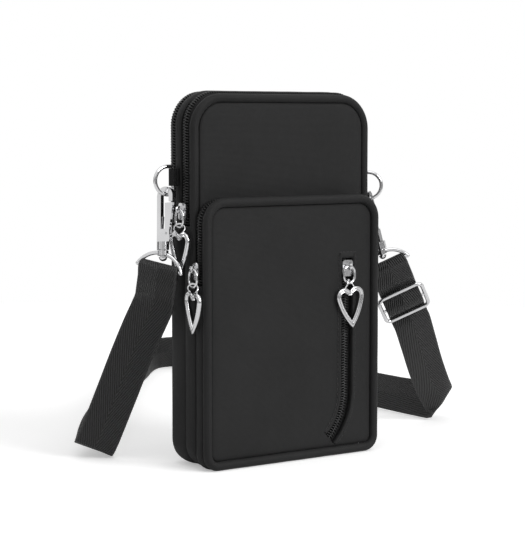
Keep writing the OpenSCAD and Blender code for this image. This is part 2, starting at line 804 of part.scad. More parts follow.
// Webbing swept along a route as one closed band
function unit(v) = v / norm(v);
function along(route, i) =
    unit(route[min(i + 1, len(route) - 1)] - route[max(i - 1, 0)]);
function section(route, across, i) =
    let (
        run = along(route, i),
        wide = unit(across[i] - (across[i] * run) * run) * strap_w / 2,
        thick = unit(cross(run, wide)) * strap_t / 2
    )
    [route[i] - wide - thick, route[i] + wide - thick, route[i] + wide + thick, route[i] - wide + thick];

module webbing(route, across) {
    n = len(route);
    points = [for (i = [0 : n - 1]) each section(route, across, i)];
    sides = [for (i = [0 : n - 2], k = [0 : 3], half = [0, 1])
        let (a = 4 * i + k, b = 4 * i + (k + 1) % 4, c = b + 4, d = a + 4)
        k < 2 ? (half == 0 ? [a, b, c] : [a, c, d]) : (half == 0 ? [a, b, d] : [b, c, d])];
    last = 4 * (n - 1);
    ends = [[2, 1, 0], [3, 2, 0], [last, last + 1, last + 2], [last, last + 2, last + 3]];
    color(nylon) polyhedron(points = points, faces = concat(ends, sides));
}

module left_strap_leg() { webbing(left_leg_route, left_leg_across); }
module strap_run() { webbing(run_route, run_across); }
module right_strap_leg() { webbing(right_leg_route, right_leg_across); }

// Strap adjuster: a wire frame and the bar that the webbing passes over
module strap_slide() {
    half_w = slide_w / 2 - slide_wire / 2;
    half_h = slide_h / 2 - slide_wire / 2;
    color(chrome) translate(slide_at) rotate([0, right_turns[3] - right_turns[2], right_turns[0]])
        rotate([right_end_lean + 90, 0, 0]) {
        for (up = [-1, 1]) {
            translate([-half_w + slide_corner, up * half_h, 0]) rotate([0, 90, 0])
                cylinder(r = slide_wire / 2, h = 2 * (half_w - slide_corner));
            for (side = [-1, 1])
                translate([side * (half_w - slide_corner), up * (half_h - slide_corner), 0])
                    rotate([0, 0, (side > 0 ? 0 : 90) + (side == up ? 0 : side > 0 ? 270 : 0)
                        + (side < 0 && up < 0 ? 90 : 0)])
                        rotate_extrude(angle = 90)
                            translate([slide_corner, 0]) circle(slide_wire / 2);
        }
        for (side = [-1, 1]) translate([side * half_w, -half_h + slide_corner, 0])
            rotate([-90, 0, 0]) cylinder(r = slide_wire / 2, h = 2 * (half_h - slide_corner));
        translate([-half_w, 0, 0]) rotate([0, 90, 0]) cylinder(r = slide_bar / 2, h = 2 * half_w);
    }
}

back_panel();
back_piping();
back_facing();
rear_gusset();
rear_zip_tape();
rear_zip_coil();
divider_panel();
divider_binding();
middle_gusset();
middle_zip_tape();
middle_zip_coil();
front_panel();
front_piping();
pocket_gusset();
pocket_zip_tape();
pocket_zip_coil();
pocket_panel();
pocket_piping();
slant_zip_tape();
slant_zip_coil();
slant_pocket_bag();
left_tab();
right_tab();
rear_slider();
middle_slider();
pocket_slider();
slant_slider();
rear_bail();
middle_bail();
pocket_bail();
slant_bail();
rear_heart();
middle_heart();
pocket_heart();
slant_heart();
left_ring();
right_ring();
left_hook();
right_hook();
left_gate();
right_gate();
left_gate_pin();
right_gate_pin();
left_gate_spring();
right_gate_spring();
left_strap_ring();
right_strap_ring();
left_strap_end();
right_strap_end();
left_strap_leg();
strap_run();
right_strap_leg();
strap_slide();
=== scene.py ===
from math import acos, atan2, cos, exp, pi, radians, sin, sqrt

import bmesh
import bpy
import numpy as np
from mathutils import Matrix, Vector, noise


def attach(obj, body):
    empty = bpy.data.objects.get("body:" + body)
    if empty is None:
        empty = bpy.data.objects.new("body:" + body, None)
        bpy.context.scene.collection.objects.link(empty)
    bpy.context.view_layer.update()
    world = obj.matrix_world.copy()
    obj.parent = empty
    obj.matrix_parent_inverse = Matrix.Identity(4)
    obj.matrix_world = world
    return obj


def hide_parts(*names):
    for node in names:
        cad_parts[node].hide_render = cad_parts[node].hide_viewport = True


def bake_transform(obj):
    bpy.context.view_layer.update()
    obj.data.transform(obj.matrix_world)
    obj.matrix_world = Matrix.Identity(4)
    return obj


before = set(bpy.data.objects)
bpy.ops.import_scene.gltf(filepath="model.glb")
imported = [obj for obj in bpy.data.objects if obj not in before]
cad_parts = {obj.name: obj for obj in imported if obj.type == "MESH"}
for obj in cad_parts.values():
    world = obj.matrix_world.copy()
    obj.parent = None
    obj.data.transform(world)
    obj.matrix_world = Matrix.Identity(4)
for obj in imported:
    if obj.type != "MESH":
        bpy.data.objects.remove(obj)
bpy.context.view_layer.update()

MM = 0.001

# Pouch, in millimetres: width, height, radius of the top and bottom corners
POUCH = (105, 179, 17, 12)
FRONT = (105, 177.5, 17, 12)
POCKET = (103.6, 128.7, 12, 8)
RING_STEP = 1.2

# Seam planes, front to back, and the walls' edges between them
POCKET_Y = -15.25
FRONT_Y = -5.45
DIVIDER_Y = 5.95
BACK_Y = 15.25
POCKET_NOTCH_Y = -7.7
MIDDLE_NOTCH_Y = 0.6
WALL_BACK_Y = 13.25
BACK_INSET = 3

# Heights of the zips' ends, and how far past its zip's end a slider lies
MAIN_END_Z = 116
POCKET_END_Z = 88.5
SLIDER_RISE = 6

# Layers, as distances in from the outline
TRIM_IN = 0.2
COIL_T = 1.4
TAPE_IN = TRIM_IN + COIL_T
TAPE_T = 0.6
ROLL_R = 2.1
ROLL_IN = TRIM_IN + ROLL_R
PAD_GAP = 0.05
PANEL_IN = ROLL_IN + ROLL_R + PAD_GAP
PANEL_T = 1.6
BINDING_W = 4.9
LOBE_T = 1.8
LOBE_FULL = 0.45
LOBE_SOFT = (0.2, 0.6)
STRIP_EDGE = 0.15

# Places of the zips: middle line, wall and coil width
MIDDLE_ZIP_Y = 0.075
REAR_ZIP_Y = 10.825
POCKET_ZIP_Y = -10.35
MIDDLE_WALL = (-3.3, 3.45)
REAR_WALL = (8.45, 13.2)
POCKET_WALL = (-13.1, -7.6)
COIL_W = 4.6
SMALL_COIL_W = 3.8
TOOTH_PITCH = 1.3

# Slant zip
SLANT_TOP = (32, 98.5)
SLANT_LEAN = 0.4
SLANT_L = 67
SLANT_R = 32
SLANT_BEND = 46
SLOT_W = 7.6
FACE_OUT = 0.4
FACE_Y = POCKET_Y - FACE_OUT
SLANT_TAPE_Y = FACE_Y + PANEL_T + PAD_GAP

# Heart pulls, and the bails that they hang in
HEART_W = 16.6
HEART_H = 20.4
HEART_R = 4.6
HEART_T = 1.9
LINK_R = 3
LINK_WIRE = 1.0
LINK_TURN = 36
SIDE_TURN = 14
CROWN_UP = 1
BAIL_UP = 2.6
BAIL_L = 8.2
LINK_UP = 1.4
NOTCH_UP = 0.5

# Rings, tabs and clips
RING_WIRE = 1.8
RING_R = 6.6
RING_REACH = 9.8
CLIP_REACH = 3.8
TAB_W = 8.1
TAB_RISE = 1.55
TAB_T = 1.1
TAB_CLEAR = 0.06
TAB_R = RING_WIRE / 2 + TAB_CLEAR + TAB_T / 2
LEFT_RING_AT = (-54.71, 5.95, 136.5)
RIGHT_RING_AT = (55.21, 2, 132)
RIGHT_RING_TURN = -39
STEM_X = -1.7
BOSS_DROP = 27.6
EYE_R = 12.3
EYE_HALF = 65.6
EYE_WIRE = 1.9
EYE_DROP = EYE_R * (1 - cos(radians(EYE_HALF)))

# Clips: turn of the strap ring, direction and size of the lean, tilt of the bar, turn of the hook,
# and then how far each sewn end leans on its bar
LEFT_CLIP = (-53, -125, 10, 15, -16)
RIGHT_CLIP = (-35, -35, 14, -11, 76)
LEFT_END_LEAN = 16.5
RIGHT_END_LEAN = 39.7

# Webbing, and its sewn ends
STRAP_W = 20
STRAP_T = 1.4
RIB_PITCH = 1.05
RIB_LEAN = 18
END_L = 13
JOIN_DROP = 7
BAR_SHARE = 0.9
BAR_CLEAR = 0.3
BAR_TURN_R = EYE_WIRE / 2 + BAR_CLEAR + STRAP_T / 2

# The right leg's fold: how much fuller and wider it is, and its place and size as shares of the
# leg's foot
FOLD_FULL = 1.6
FOLD_WIDER = 0.04
FOLD_AT = 0.36
FOLD_SPREAD = 0.08

# Routes of the webbing and the way across it at each point. Each leg is split at one of its
# points, and a second point of its foot is listed too
LEFT_SPLIT = 4
LEFT_FOOT = 7
RIGHT_SPLIT = 8
RIGHT_FOOT = 5

LEFT_LEG = [
    (-64, 7.4, 81.8), (-64.3, 8.3, 78.6), (-66.6, 15, 66), (-69.2, 22, 51.5), (-71.8, 29, 36),
    (-74.4, 36.2, 20.5), (-76.1, 41, 10.4), (-76.8, 43.4, 6.4), (-76.2, 45.6, 5.2),
    (-74, 49, 5.4), (-70, 55, 7.2),
]
LEFT_ACROSS = [
    (11.2, -16, -4), (12.6, -15, -4), (14, -13.4, -4.5), (14.8, -12.2, -5), (15, -11.5, -5.5),
    (16, -10, -6), (17, -9, -6.5), (17, -9, -7), (17, -9, -7.5), (16, -9, -9), (14, -9, -11),
]
RUN = [
    (-70, 55, 7.2), (-62, 68, 9.4), (-50, 86, 10.5), (-34, 108, 10.6), (-10, 140, 10.6),
    (30, 192, 10.6), (70, 243, 10.6), (96, 275, 10.6), (106, 286, 10.6), (113, 291, 10.6),
    (121, 292, 10.6), (128, 289, 10.6), (132, 282, 10.6), (134, 270, 10.6), (134, 240, 10.6),
    (134, 200, 10.6), (133, 150, 10.6), (132, 110, 10.6), (131, 83, 10.6), (130.5, 62, 10.6),
]
RUN_ACROSS = [(14, -9, -11), (8, -6, -16), (3, -2, -19)] + [(0, 0, -20)] * 16 + [(-1, 0, -20)]
RIGHT_LEG = [
    (130.5, 62, 10.6), (131.5, 50, 10.5), (133.2, 42, 10), (135.2, 36.6, 9.4), (135.7, 33.7, 10.6),
    (132, 31.4, 14.4), (125.4, 28, 21.2), (115, 21.9, 33.5), (105.4, 15.6, 45.7),
    (95.7, 9.3, 58), (93.3, 8.3, 61), (91.2, 8.4, 64.8), (89.9, 7.7, 66.2), (84.9, 2.3, 68.3),
    (82.9, 1.2, 70.5), (79.8, 2.3, 77.4), (78.5, 1.6, 78.8), (76.5, 0, 80.4), (73.3, -2.6, 82.7),
]
RIGHT_ACROSS = [
    (-1, 0, -20), (-4, 0, -19), (-9, 0, -17), (-13, 0.3, -15), (-14.3, 1.8, -13.8),
    (-13.6, 4.8, -14.1), (-12, 8.2, -13.8), (-12.5, 9, -12.5), (-13, 9.3, -11.5), (-14, 9.8, -10),
    (-14.4, 10, -9.5), (-14.6, 10.2, -9),
] + [(-14.8, 10.4, -8.5)] * 7


# Mesh helpers: points are in millimetres, and become metres in the mesh
def soft_noise(x, y, z, size, seed=0):
    """Smooth seeded noise from -1 to 1 with features of about the given size."""
    return noise.noise(Vector((x / size + 17 * seed, y / size - 5 * seed, z / size + 3 * seed)))


def stand(name, data):
    """A new object of the scene."""
    obj = bpy.data.objects.new(name, data)
    bpy.context.scene.collection.objects.link(obj)
    return obj


def piece(name, form, material, body="root", stands_for=(), uv=None):
    """A smooth piece from its points and faces, with sharp edges round its flat ends."""
    points, faces = form
    mesh = bpy.data.meshes.new(name)
    mesh.from_pydata((np.asarray(points, float) * MM).tolist(), [], [list(f) for f in faces])
    if uv is not None:
        layer = mesh.uv_layers.new(name="lay")
        corners = np.zeros(len(mesh.loops), int)
        mesh.loops.foreach_get("vertex_index", corners)
        layer.data.foreach_set("uv", (np.asarray(uv, float)[corners]).ravel())
    work = bmesh.new()
    work.from_mesh(mesh)
    bmesh.ops.recalc_face_normals(work, faces=work.faces)
    for edge in work.edges:
        if any(len(face.verts) > 4 for face in edge.link_faces):
            edge.smooth = False
    work.to_mesh(mesh)
    work.free()
    mesh.polygons.foreach_set("use_smooth", [True] * len(mesh.polygons))
    mesh.materials.append(material)
    obj = stand(name, mesh)
    if body:
        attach(obj, body)
    if stands_for:
        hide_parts(*stands_for)
    return obj


def grid_faces(rows, cols, wrap_rows=False, wrap_cols=False, start=0):
    """Quads over a grid of points that is stored row by row."""
    faces = []
    for i in range(rows if wrap_rows else rows - 1):
        for j in range(cols if wrap_cols else cols - 1):
            a, b = start + i * cols, start + (i + 1) % rows * cols
            faces.append((a + j, a + (j + 1) % cols, b + (j + 1) % cols, b + j))
    return faces


def fan_faces(start, count, hub):
    return [(start + j, start + (j + 1) % count, hub) for j in range(count)]


def loft(sections, closed=False, start=0):
    """Closed cross-sections joined into a tube, with flat ends where it is open."""
    rows, cols = len(sections), len(sections[0])
    faces = grid_faces(rows, cols, closed, True, start)
    if not closed:
        faces.append(tuple(start + j for j in range(cols)))
        faces.append(tuple(start + (rows - 1) * cols + j for j in reversed(range(cols))))
    return [tuple(p) for section in sections for p in section], faces


class Parts:
    """Gathers several tubes into one form."""

    def __init__(self):
        self.form = [], []

    def add_loft(self, sections, closed=False):
        points, faces = self.form
        more, sides = loft(sections, closed, len(points))
        points += more
        faces += sides


def arc(center, radius, start, end, step):
    count = max(3, int(abs(radians(end - start)) * radius / step))
    for k in range(count):
        a = radians(start + (end - start) * k / count)
        yield center[0] + radius * cos(a), center[1] + radius * sin(a), cos(a), sin(a)


def line(a, b, normal, step):
    count = max(1, int(sqrt((b[0] - a[0]) ** 2 + (b[1] - a[1]) ** 2) / step))
    for k in range(count):
        t = k / count
        yield a[0] + (b[0] - a[0]) * t, a[1] + (b[1] - a[1]) * t, normal[0], normal[1]


def outline(shape, step=RING_STEP):
    """Points round a rounded panel that stands on z = 0, each with its outward normal (x, z)."""
    w, h, top, bottom = shape
    x, rt, rb = w / 2, top, bottom
    path = []
    path += line((0, 0), (x - rb, 0), (0, -1), step)
    path += arc((x - rb, rb), rb, -90, 0, step)
    path += line((x, rb), (x, h - rt), (1, 0), step)
    path += arc((x - rt, h - rt), rt, 0, 90, step)
    path += line((x - rt, h), (rt - x, h), (0, 1), step)
    path += arc((rt - x, h - rt), rt, 90, 180, step)
    path += line((-x, h - rt), (-x, rb), (-1, 0), step)
    path += arc((rb - x, rb), rb, 180, 270, step)
    path += line((rb - x, 0), (0, 0), (0, -1), step)
    return np.array(path)


def upper(path, z):
    """The stretch of an outline over a height, from its right end over the top to its left end."""
    return path[path[:, 1] >= z]


def lower(path, z):
    """The stretch of an outline under a height, from its left end to its right end."""
    keep = path[:, 1] < z
    first = int(np.argmax(~keep))
    rolled = np.roll(path, -first, axis=0)
    return rolled[rolled[:, 1] < z]


def put(p, inset, y):
    """The point at a distance in from an outline point, at depth y."""
    return (p[0] - inset * p[2], y, p[1] - inset * p[3])


def sweep(path, profile, waves, size, seed):
    """Sections of a band that follows an outline. The profile is a loop of (distance in, depth)."""
    sections = []
    for p in path:
        lift = waves * soft_noise(p[0], 0, p[1], size, seed)
        sections.append([put(p, d + lift, y) for d, y in profile])
    return sections


def lobe_profile(y0, y1, deep):
    """A soft wall strip that swells between its two seams."""
    outer = []
    for k in range(11):
        t = k / 10
        outer.append((deep * (1 - sin(pi * t) ** LOBE_FULL), y0 + (y1 - y0) * t))
    near, far = LOBE_SOFT
    return outer + [(LOBE_T + near, y1), (LOBE_T, y1 - far), (LOBE_T, y0 + far),
                    (LOBE_T + near, y0)]


def strip_profile(d0, d1, y0, y1):
    """A flat strip with eased edges: distances in d0 to d1, depths y0 to y1."""
    edge = STRIP_EDGE
    return [(d0 + edge, y0), (d0, y0 + edge), (d0, (y0 + y1) / 2), (d0, y1 - edge), (d0 + edge, y1),
            (d1 - edge, y1), (d1, y1 - edge), (d1, y0 + edge), (d1 - edge, y0)]


def ring(radius, sides):
    """Points round a circle."""
    turns = [2 * pi * k / sides for k in range(sides)]
    return [(radius * cos(a), radius * sin(a)) for a in turns]


def tube(points, radius, sides):
    """Round sections along a line of points, with the sides kept from twisting."""
    pts = [Vector(p) for p in points]
    last = len(pts) - 1
    up = (pts[1] - pts[0]).normalized().orthogonal()
    sections = []
    for i, p in enumerate(pts):
        run = (pts[min(i + 1, last)] - pts[max(i - 1, 0)]).normalized()
        up = (up - run * up.dot(run)).normalized()
        side = run.cross(up)
        sections.append([tuple(p + up * u + side * v) for u, v in ring(radius, sides)])
    return sections


def ease_edges(obj, width, angle):
    """Bevels the edges that are sharper than an angle."""
    soft = obj.modifiers.new("eased_edges", "BEVEL")
    soft.width = width * MM
    soft.segments = 2
    soft.limit_method = "ANGLE"
    soft.angle_limit = radians(angle)


def turned(matrix, points):
    return [tuple(matrix @ Vector(p)) for p in points]


def turn(axis, degrees):
    return Matrix.Rotation(radians(degrees), 4, axis)


def move(x, y, z):
    return Matrix.Translation((x, y, z))


# Materials: helpers that build node trees. A node stands for its first output
def graph(name):
    mat = bpy.data.materials.new(name)
    mat.use_nodes = True
    return mat, mat.node_tree, mat.node_tree.nodes["Principled BSDF"]


def feed(socket, value):
    """Gives an input its value, or links another node to it."""
    if isinstance(value, bpy.types.Node):
        value = value.outputs[0]
    if isinstance(value, bpy.types.NodeSocket):
        socket.id_data.links.new(value, socket)
    else:
        socket.default_value = value


def fill(made, *values, **named):
    """Feeds a node's inputs by order or by name, with _ for a space, or sets its properties."""
    for socket, value in zip(made.inputs, values):
        feed(socket, value)
    for key, value in named.items():
        label = key.replace("_", " ")
        if label in made.inputs:
            feed(made.inputs[label], value)
        else:
            setattr(made, key, value)
    return made


def node(tree, kind, *values, **named):
    return fill(tree.nodes.new("ShaderNode" + kind), *values, **named)


def math_node(operation, a, *others):
    return node(a.id_data, "Math", a, *others, operation=operation)


def scaled(value, rate, start):
    """A value times a rate, plus a start."""
    return math_node("ADD", math_node("MULTIPLY", value, rate), start)


def ridges(value, pitch):
    """Ridges at a pitch in millimetres."""
    return math_node("SINE", math_node("MULTIPLY", value, 2 * pi / (pitch * MM)))


def clouds(vector, scale, detail, **values):
    return node(vector.id_data, "TexNoise", Vector=vector, Scale=scale, Detail=detail, **values)


def ramp(value, places, colours):
    """Runs between two colours as a value runs between two places."""
    made = node(value.id_data, "ValToRGB", value)
    for element, place, colour in zip(made.color_ramp.elements, places, colours):
        element.position = place
        element.color = tuple(colour) + (1,)
    return made


def relief(height, strength, distance):
    return node(height.id_data, "Bump", Height=height, Strength=strength, Distance=distance)


def shaded(colour, vector, scale, low=0.86, high=1.12):
    """Slow variation of a base colour between two shares of it."""
    colours = [[c * share for c in colour] for share in (low, high)]
    return ramp(clouds(vector, scale, 3.0, Roughness=0.55), (0.3, 0.7), colours)


# Cloth: how far its weave paints shade into its grooves, and how far weave and fuzz roughen and
# lift it
WEAVE_MIX = 0.25
WEAVE_GROOVE_SHADE = (0.3, 0.85)
CLOTH_CLOUDS = 28.0
FUZZ_SCALE = 420.0
FUZZ_ROUGH = 0.12
FUZZ_LIFT = 0.8
CLOTH_LIFT = 0.12 * MM
CLOTH_SHEEN_ROUGH = 0.45
CLOTH_SPECULAR = 0.22


def cloth_material(name, colour, roughness, weave, bump, sheen, twill=0.0):
    """Woven cloth: warp and weft ridges at the weave's own size, shade painted between them, and
    slow colour variation.
    """
    mat, tree, shader = graph(name)
    place = node(tree, "TexCoord").outputs["Object"]
    x, y, z = node(tree, "SeparateXYZ", place).outputs
    across = math_node("ADD", x, y)
    up = math_node("ADD", z, math_node("MULTIPLY", across, twill))
    weft = math_node("ADD", ridges(across, weave), ridges(up, weave))
    weft = math_node("MULTIPLY", weft, 0.5)
    # The colour is darkened where the weave dips: painted shade in its grooves
    mix = node(tree, "Mix", WEAVE_MIX, data_type="RGBA", blend_type="MULTIPLY")
    feed(mix.inputs[6], shaded(colour, place, CLOTH_CLOUDS))
    feed(mix.inputs[7], scaled(weft, *WEAVE_GROOVE_SHADE))
    fuzz = clouds(place, FUZZ_SCALE, 2.0)
    lift = math_node("ADD", weft, math_node("MULTIPLY", fuzz, FUZZ_LIFT))
    fill(shader, Base_Color=mix.outputs[2], Normal=relief(lift, bump, CLOTH_LIFT),
         Roughness=scaled(fuzz, FUZZ_ROUGH, roughness - FUZZ_ROUGH / 2), Sheen_Weight=sheen,
         Sheen_Roughness=CLOTH_SHEEN_ROUGH, Specular_IOR_Level=CLOTH_SPECULAR)
    return mat


# Webbing: its yarns, the plain stretch at its edges, the painted shade in its grooves and its
# colour on the ribs, its relief, and the share and least value of its roughness
YARN_PITCH = 0.9
YARN_LIFT = 0.08
PLAIN_FROM = 8.6
PLAIN_TO = 9.2
PLAIN_SHARE = 0.25
# The grooves' colour is painted shade, far darker than the ribs' own colour
GROOVE_PAINTED_SHADE = (0.0030, 0.0030, 0.0031)
RIB = (0.0330, 0.0330, 0.0333)
RIB_SHADE = (0.45, 0.5)
RIB_PLACES = (0.12, 0.95)
RIB_LIFT = 0.4 * MM
WEB_FUZZ = 500.0
WEB_ROUGH = (0.14, 0.46)


def webbing_material():
    """Herringbone webbing: slanting ribs meeting at the middle, plain edges, shade painted in the
    grooves.
    """
    mat, tree, shader = graph("webbing_herringbone")
    lay = node(tree, "UVMap", uv_map="lay")
    x, y, _ = node(tree, "SeparateXYZ", lay).outputs
    half = math_node("ABSOLUTE", x)
    slant = radians(RIB_LEAN)
    place = math_node("ADD", math_node("MULTIPLY", half, cos(slant)),
                      math_node("MULTIPLY", y, sin(slant)))
    edge = node(tree, "MapRange", Value=half, From_Min=PLAIN_FROM * MM, From_Max=PLAIN_TO * MM,
                To_Min=1.0, To_Max=PLAIN_SHARE)
    height = math_node("MULTIPLY", ridges(place, RIB_PITCH), edge)
    height = math_node("ADD", height, math_node("MULTIPLY", ridges(y, YARN_PITCH), YARN_LIFT))
    # The colour runs from painted shade in the grooves to the webbing's own colour on the ribs
    fill(shader, Base_Color=ramp(scaled(height, *RIB_SHADE), RIB_PLACES, (GROOVE_PAINTED_SHADE, RIB)),
         Normal=relief(height, 1.0, RIB_LIFT), Sheen_Weight=0.03,
         Roughness=scaled(clouds(lay, WEB_FUZZ, 2.0), *WEB_ROUGH))
    return mat


# Plastic and metal: scales of their clouds and grain, and how far the grain roughens and lifts
PLASTIC_CLOUDS = 90.0
PLASTIC_GRAIN = 900.0
GRAIN_ROUGH = 0.2
METAL_CLOUDS = 60.0
METAL_SHADE = (0.93, 1.03)
METAL_MARKS = (900.0, 900.0, 120.0)
METAL_SKIN = 350.0
SKIN_BUMP = 0.12
SKIN_LIFT = 0.1 * MM


def plastic_material(name, colour, roughness):
    """Nylon with faint clouds and a slightly uneven gloss."""
    mat, tree, shader = graph(name)
    place = node(tree, "TexCoord").outputs["Object"]
    grain = clouds(place, PLASTIC_GRAIN, 2.0)
    fill(shader, Base_Color=shaded(colour, place, PLASTIC_CLOUDS),
         Roughness=scaled(grain, GRAIN_ROUGH, roughness - GRAIN_ROUGH / 2))
    return mat


def metal_material(name, colour, roughness, wear):
    """Polished plating: faint cloudiness, hairline marks and a slightly uneven skin."""
    mat, tree, shader = graph(name)
    place = node(tree, "TexCoord").outputs["Object"]
    marks = clouds(node(tree, "Mapping", Vector=place, Scale=METAL_MARKS), 1.0, 3.0)
    fill(shader, Base_Color=shaded(colour, place, METAL_CLOUDS, *METAL_SHADE), Metallic=1.0,
         Roughness=scaled(marks, wear, roughness),
         Normal=relief(clouds(place, METAL_SKIN, 1.0), SKIN_BUMP, SKIN_LIFT))
    return mat


NYLON = cloth_material("nylon_canvas", (0.0142, 0.0142, 0.0144), 0.62, 0.55, 0.5, 0.03)
# The same nylon, a little darker: painted shade for the rolled edges and the binding
SHADED_EDGE_NYLON = cloth_material("nylon_edging_shaded", (0.0130, 0.0130, 0.0132), 0.6, 0.5, 0.45, 0.04)
TAPE = cloth_material("zip_tape_knit", (0.0085, 0.0085, 0.0087), 0.75, 0.7, 0.6, 0.02, 0.6)
LINING = cloth_material("lining_cloth", (0.0150, 0.0150, 0.0153), 0.7, 0.4, 0.3, 0.02)
TAB_WEB = cloth_material("tab_webbing", (0.0080, 0.0080, 0.0082), 0.7, 1.1, 0.8, 0.02, 1.0)
WEBBING = webbing_material()
COIL = plastic_material("zip_coil_nylon", (0.0190, 0.0190, 0.0193), 0.38)
THREAD = plastic_material("sewing_thread", (0.0190, 0.0190, 0.0193), 0.6)
CHROME = metal_material("chrome_plating", (0.78, 0.78, 0.79), 0.05, 0.10)
STEEL = metal_material("spring_steel", (0.55, 0.55, 0.56), 0.18, 0.2)


# Padded panels: rings that run in from the outline, crowned and drawn down at the seam
PAD_INSETS = (0, 0.35, 0.8, 1.3, 2, 3)
PAD_SHARES = [1 - k / 30 for k in range(1, 30)]
PAD_SINK = 0.8
PAD_CROWN = 0.9
PAD_EASE = 7.0
PAD_WAVE = 0.22
SEAM_EASE = 0.7
LONG_CREASE = 46
SHORT_CREASE = 21
PAD_FAR = 40
BACK_RINGS = (0, 3, 20)

# The pocket's pad: its seed, crown and waves
POCKET_PAD = (8, 0.5, 0.28)


def edge_distance(shape, inset, x, z):
    """Distance of a point of a panel from its edge, which lies in from the outline."""
    w, h, top, bottom = shape
    high = z > h / 2
    r = top if high else bottom
    dx = abs(x) - (w / 2 - r)
    dz = z - (h - r) if high else r - z
    return r - inset - (sqrt(dx * dx + dz * dz) if min(dx, dz) > 0 else max(dx, dz))


def pad_face(distance, x, z, seed, crown=PAD_CROWN, wave=PAD_WAVE):
    """How far a padded face stands out from its seam plane."""
    ease = 1 - np.exp(-max(distance, 0) / PAD_EASE)
    lip = PAD_SINK * np.exp(-max(distance, 0) / SEAM_EASE)
    crease = (0.6 * soft_noise(x, 0, z, LONG_CREASE, seed)
              + 0.4 * soft_noise(x, 0, z, SHORT_CREASE, seed + 1))
    return crown * ease - lip + wave * ease * crease


def pad(shape, inset, y_face, y_back, front, seed, crown=PAD_CROWN, wave=PAD_WAVE):
    """Closed pad: a crowned face, a thin rolled edge and a flat back. front is -1 or 1."""
    path = outline(shape)
    center = shape[1] / 2
    rings = [[put(p, inset + d, 0) for p in path] for d in PAD_INSETS]
    last = rings[-1]
    for share in PAD_SHARES:
        rings.append([(x * share, 0, center + (z - center) * share) for x, y, z in last])
    points, count = [], len(path)
    for row in rings:
        for x, _, z in row:
            d = edge_distance(shape, inset, x, z)
            points.append((x, y_face + front * pad_face(d, x, z, seed, crown, wave), z))
    faces = grid_faces(len(rings), count, False, True)
    hub = len(points)
    points.append((0, y_face + front * pad_face(PAD_FAR, 0, center, seed, crown, wave), center))
    inner = (len(rings) - 1) * count
    faces += fan_faces(inner, count, hub)
    base = len(points)
    for k in BACK_RINGS:
        points += [(x, y_back, z) for x, _, z in rings[k]]
    faces += [(j, (j + 1) % count, base + (j + 1) % count, base + j) for j in range(count)]
    faces += grid_faces(3, count, False, True, base)
    hub = len(points)
    points.append((0, y_back, center))
    inner = base + 2 * count
    faces += fan_faces(inner, count, hub)
    return points, faces


def panel(name, form):
    return piece(name + "_padded_panel", form, NYLON, stands_for=[name + "_panel"])


def front_pad():
    form = pad(FRONT, PANEL_IN, FRONT_Y - PAD_GAP - PANEL_T, FRONT_Y - 2 * PAD_GAP, -1, 3)
    panel("front", form)


def back_pad():
    inset = BACK_INSET + PANEL_IN
    form = pad(POUCH, inset, BACK_Y + PAD_GAP + PANEL_T, BACK_Y + 2 * PAD_GAP, 1, 5)
    panel("back", form)


# Slot of the slant zip: its middle line runs straight down and then bends to the left
SLOT_END = SLANT_L + radians(SLANT_BEND) * SLANT_R
SLOT_UNDER_LIP = 0.3
CUT_DEPTH = 6
LIP_W = 2.6
LIP_OVER = 0.55
LIP_CRINKLE = 0.16
LIP_UNEVEN = 0.1
LIP_PAST = 0.6
LIP_STEP = 0.8
TOP_BAR_OVER = 0.6

# Sections of the slot's lips and top bar: share of the width or place along it, and rise
LIP_FORM = ((0, -1.15), (0.0, -0.35), (0.07, 0.3), (0.2, 0.62), (0.42, 0.66),
            (0.62, 0.42), (0.8, 0.1), (1, -0.2), (0.9, -0.6), (0.4, -1.0))
TOP_BAR_FORM = ((-1.0, -1.1), (-1.0, 0.0), (-0.7, 0.4), (0.2, 0.5), (1.2, 0.3), (2.2, 0.05),
                (2.3, -0.4), (0, -1.1))


def slot_line(start, end, step=1.0):
    """Points (x, z, normal x, normal z) down the slot's middle line; the normal points right."""
    count = max(2, int((end - start) / step) + 1)
    lean = radians(SLANT_LEAN)
    points = []
    for k in range(count):
        s = start + (end - start) * k / (count - 1)
        if s <= SLANT_L:
            u, v, a = 0.0, -s, 0.0
        else:
            a = (s - SLANT_L) / SLANT_R
            u, v = -SLANT_R + SLANT_R * cos(a), -SLANT_L - SLANT_R * sin(a)
        nx, nz = cos(a), -sin(a)
        x = SLANT_TOP[0] + u * cos(lean) + v * sin(lean)
        z = SLANT_TOP[1] - u * sin(lean) + v * cos(lean)
        points.append((x, z, nx * cos(lean) + nz * sin(lean), -nx * sin(lean) + nz * cos(lean)))
    return points


def slot_strip(d0, d1, y0, y1, start, end):
    """Closed strip along the slot, between two distances from its middle line."""
    sections = []
    for x, z, nx, nz in slot_line(start, end):
        a, b = (x + d0 * nx, z + d0 * nz), (x + d1 * nx, z + d1 * nz)
        sections.append([(a[0], y0, a[1]), (b[0], y0, b[1]), (b[0], y1, b[1]), (a[0], y1, a[1])])
    return sections


def cut(obj, form):
    """Takes a closed block out of a piece."""
    cutter = piece("slot_cutter", form, LINING, body=None)
    change = obj.modifiers.new("slot", "BOOLEAN")
    change.operation = "DIFFERENCE"
    change.solver = "EXACT"
    change.object = cutter
    bpy.context.view_layer.update()
    made = bpy.data.meshes.new_from_object(obj.evaluated_get(bpy.context.evaluated_depsgraph_get()))
    obj.modifiers.clear()
    obj.data = made
    bpy.data.objects.remove(cutter, do_unlink=True)
    made.polygons.foreach_set("use_smooth", [True] * len(made.polygons))


def pocket_pad():
    obj = panel("pocket", pad(POCKET, PANEL_IN, FACE_Y, FACE_Y + PANEL_T, -1, *POCKET_PAD))
    half = SLOT_W / 2 - SLOT_UNDER_LIP
    cut(obj, loft(slot_strip(-half, half, FACE_Y - CUT_DEPTH, FACE_Y + CUT_DEPTH, 0, SLOT_END)))


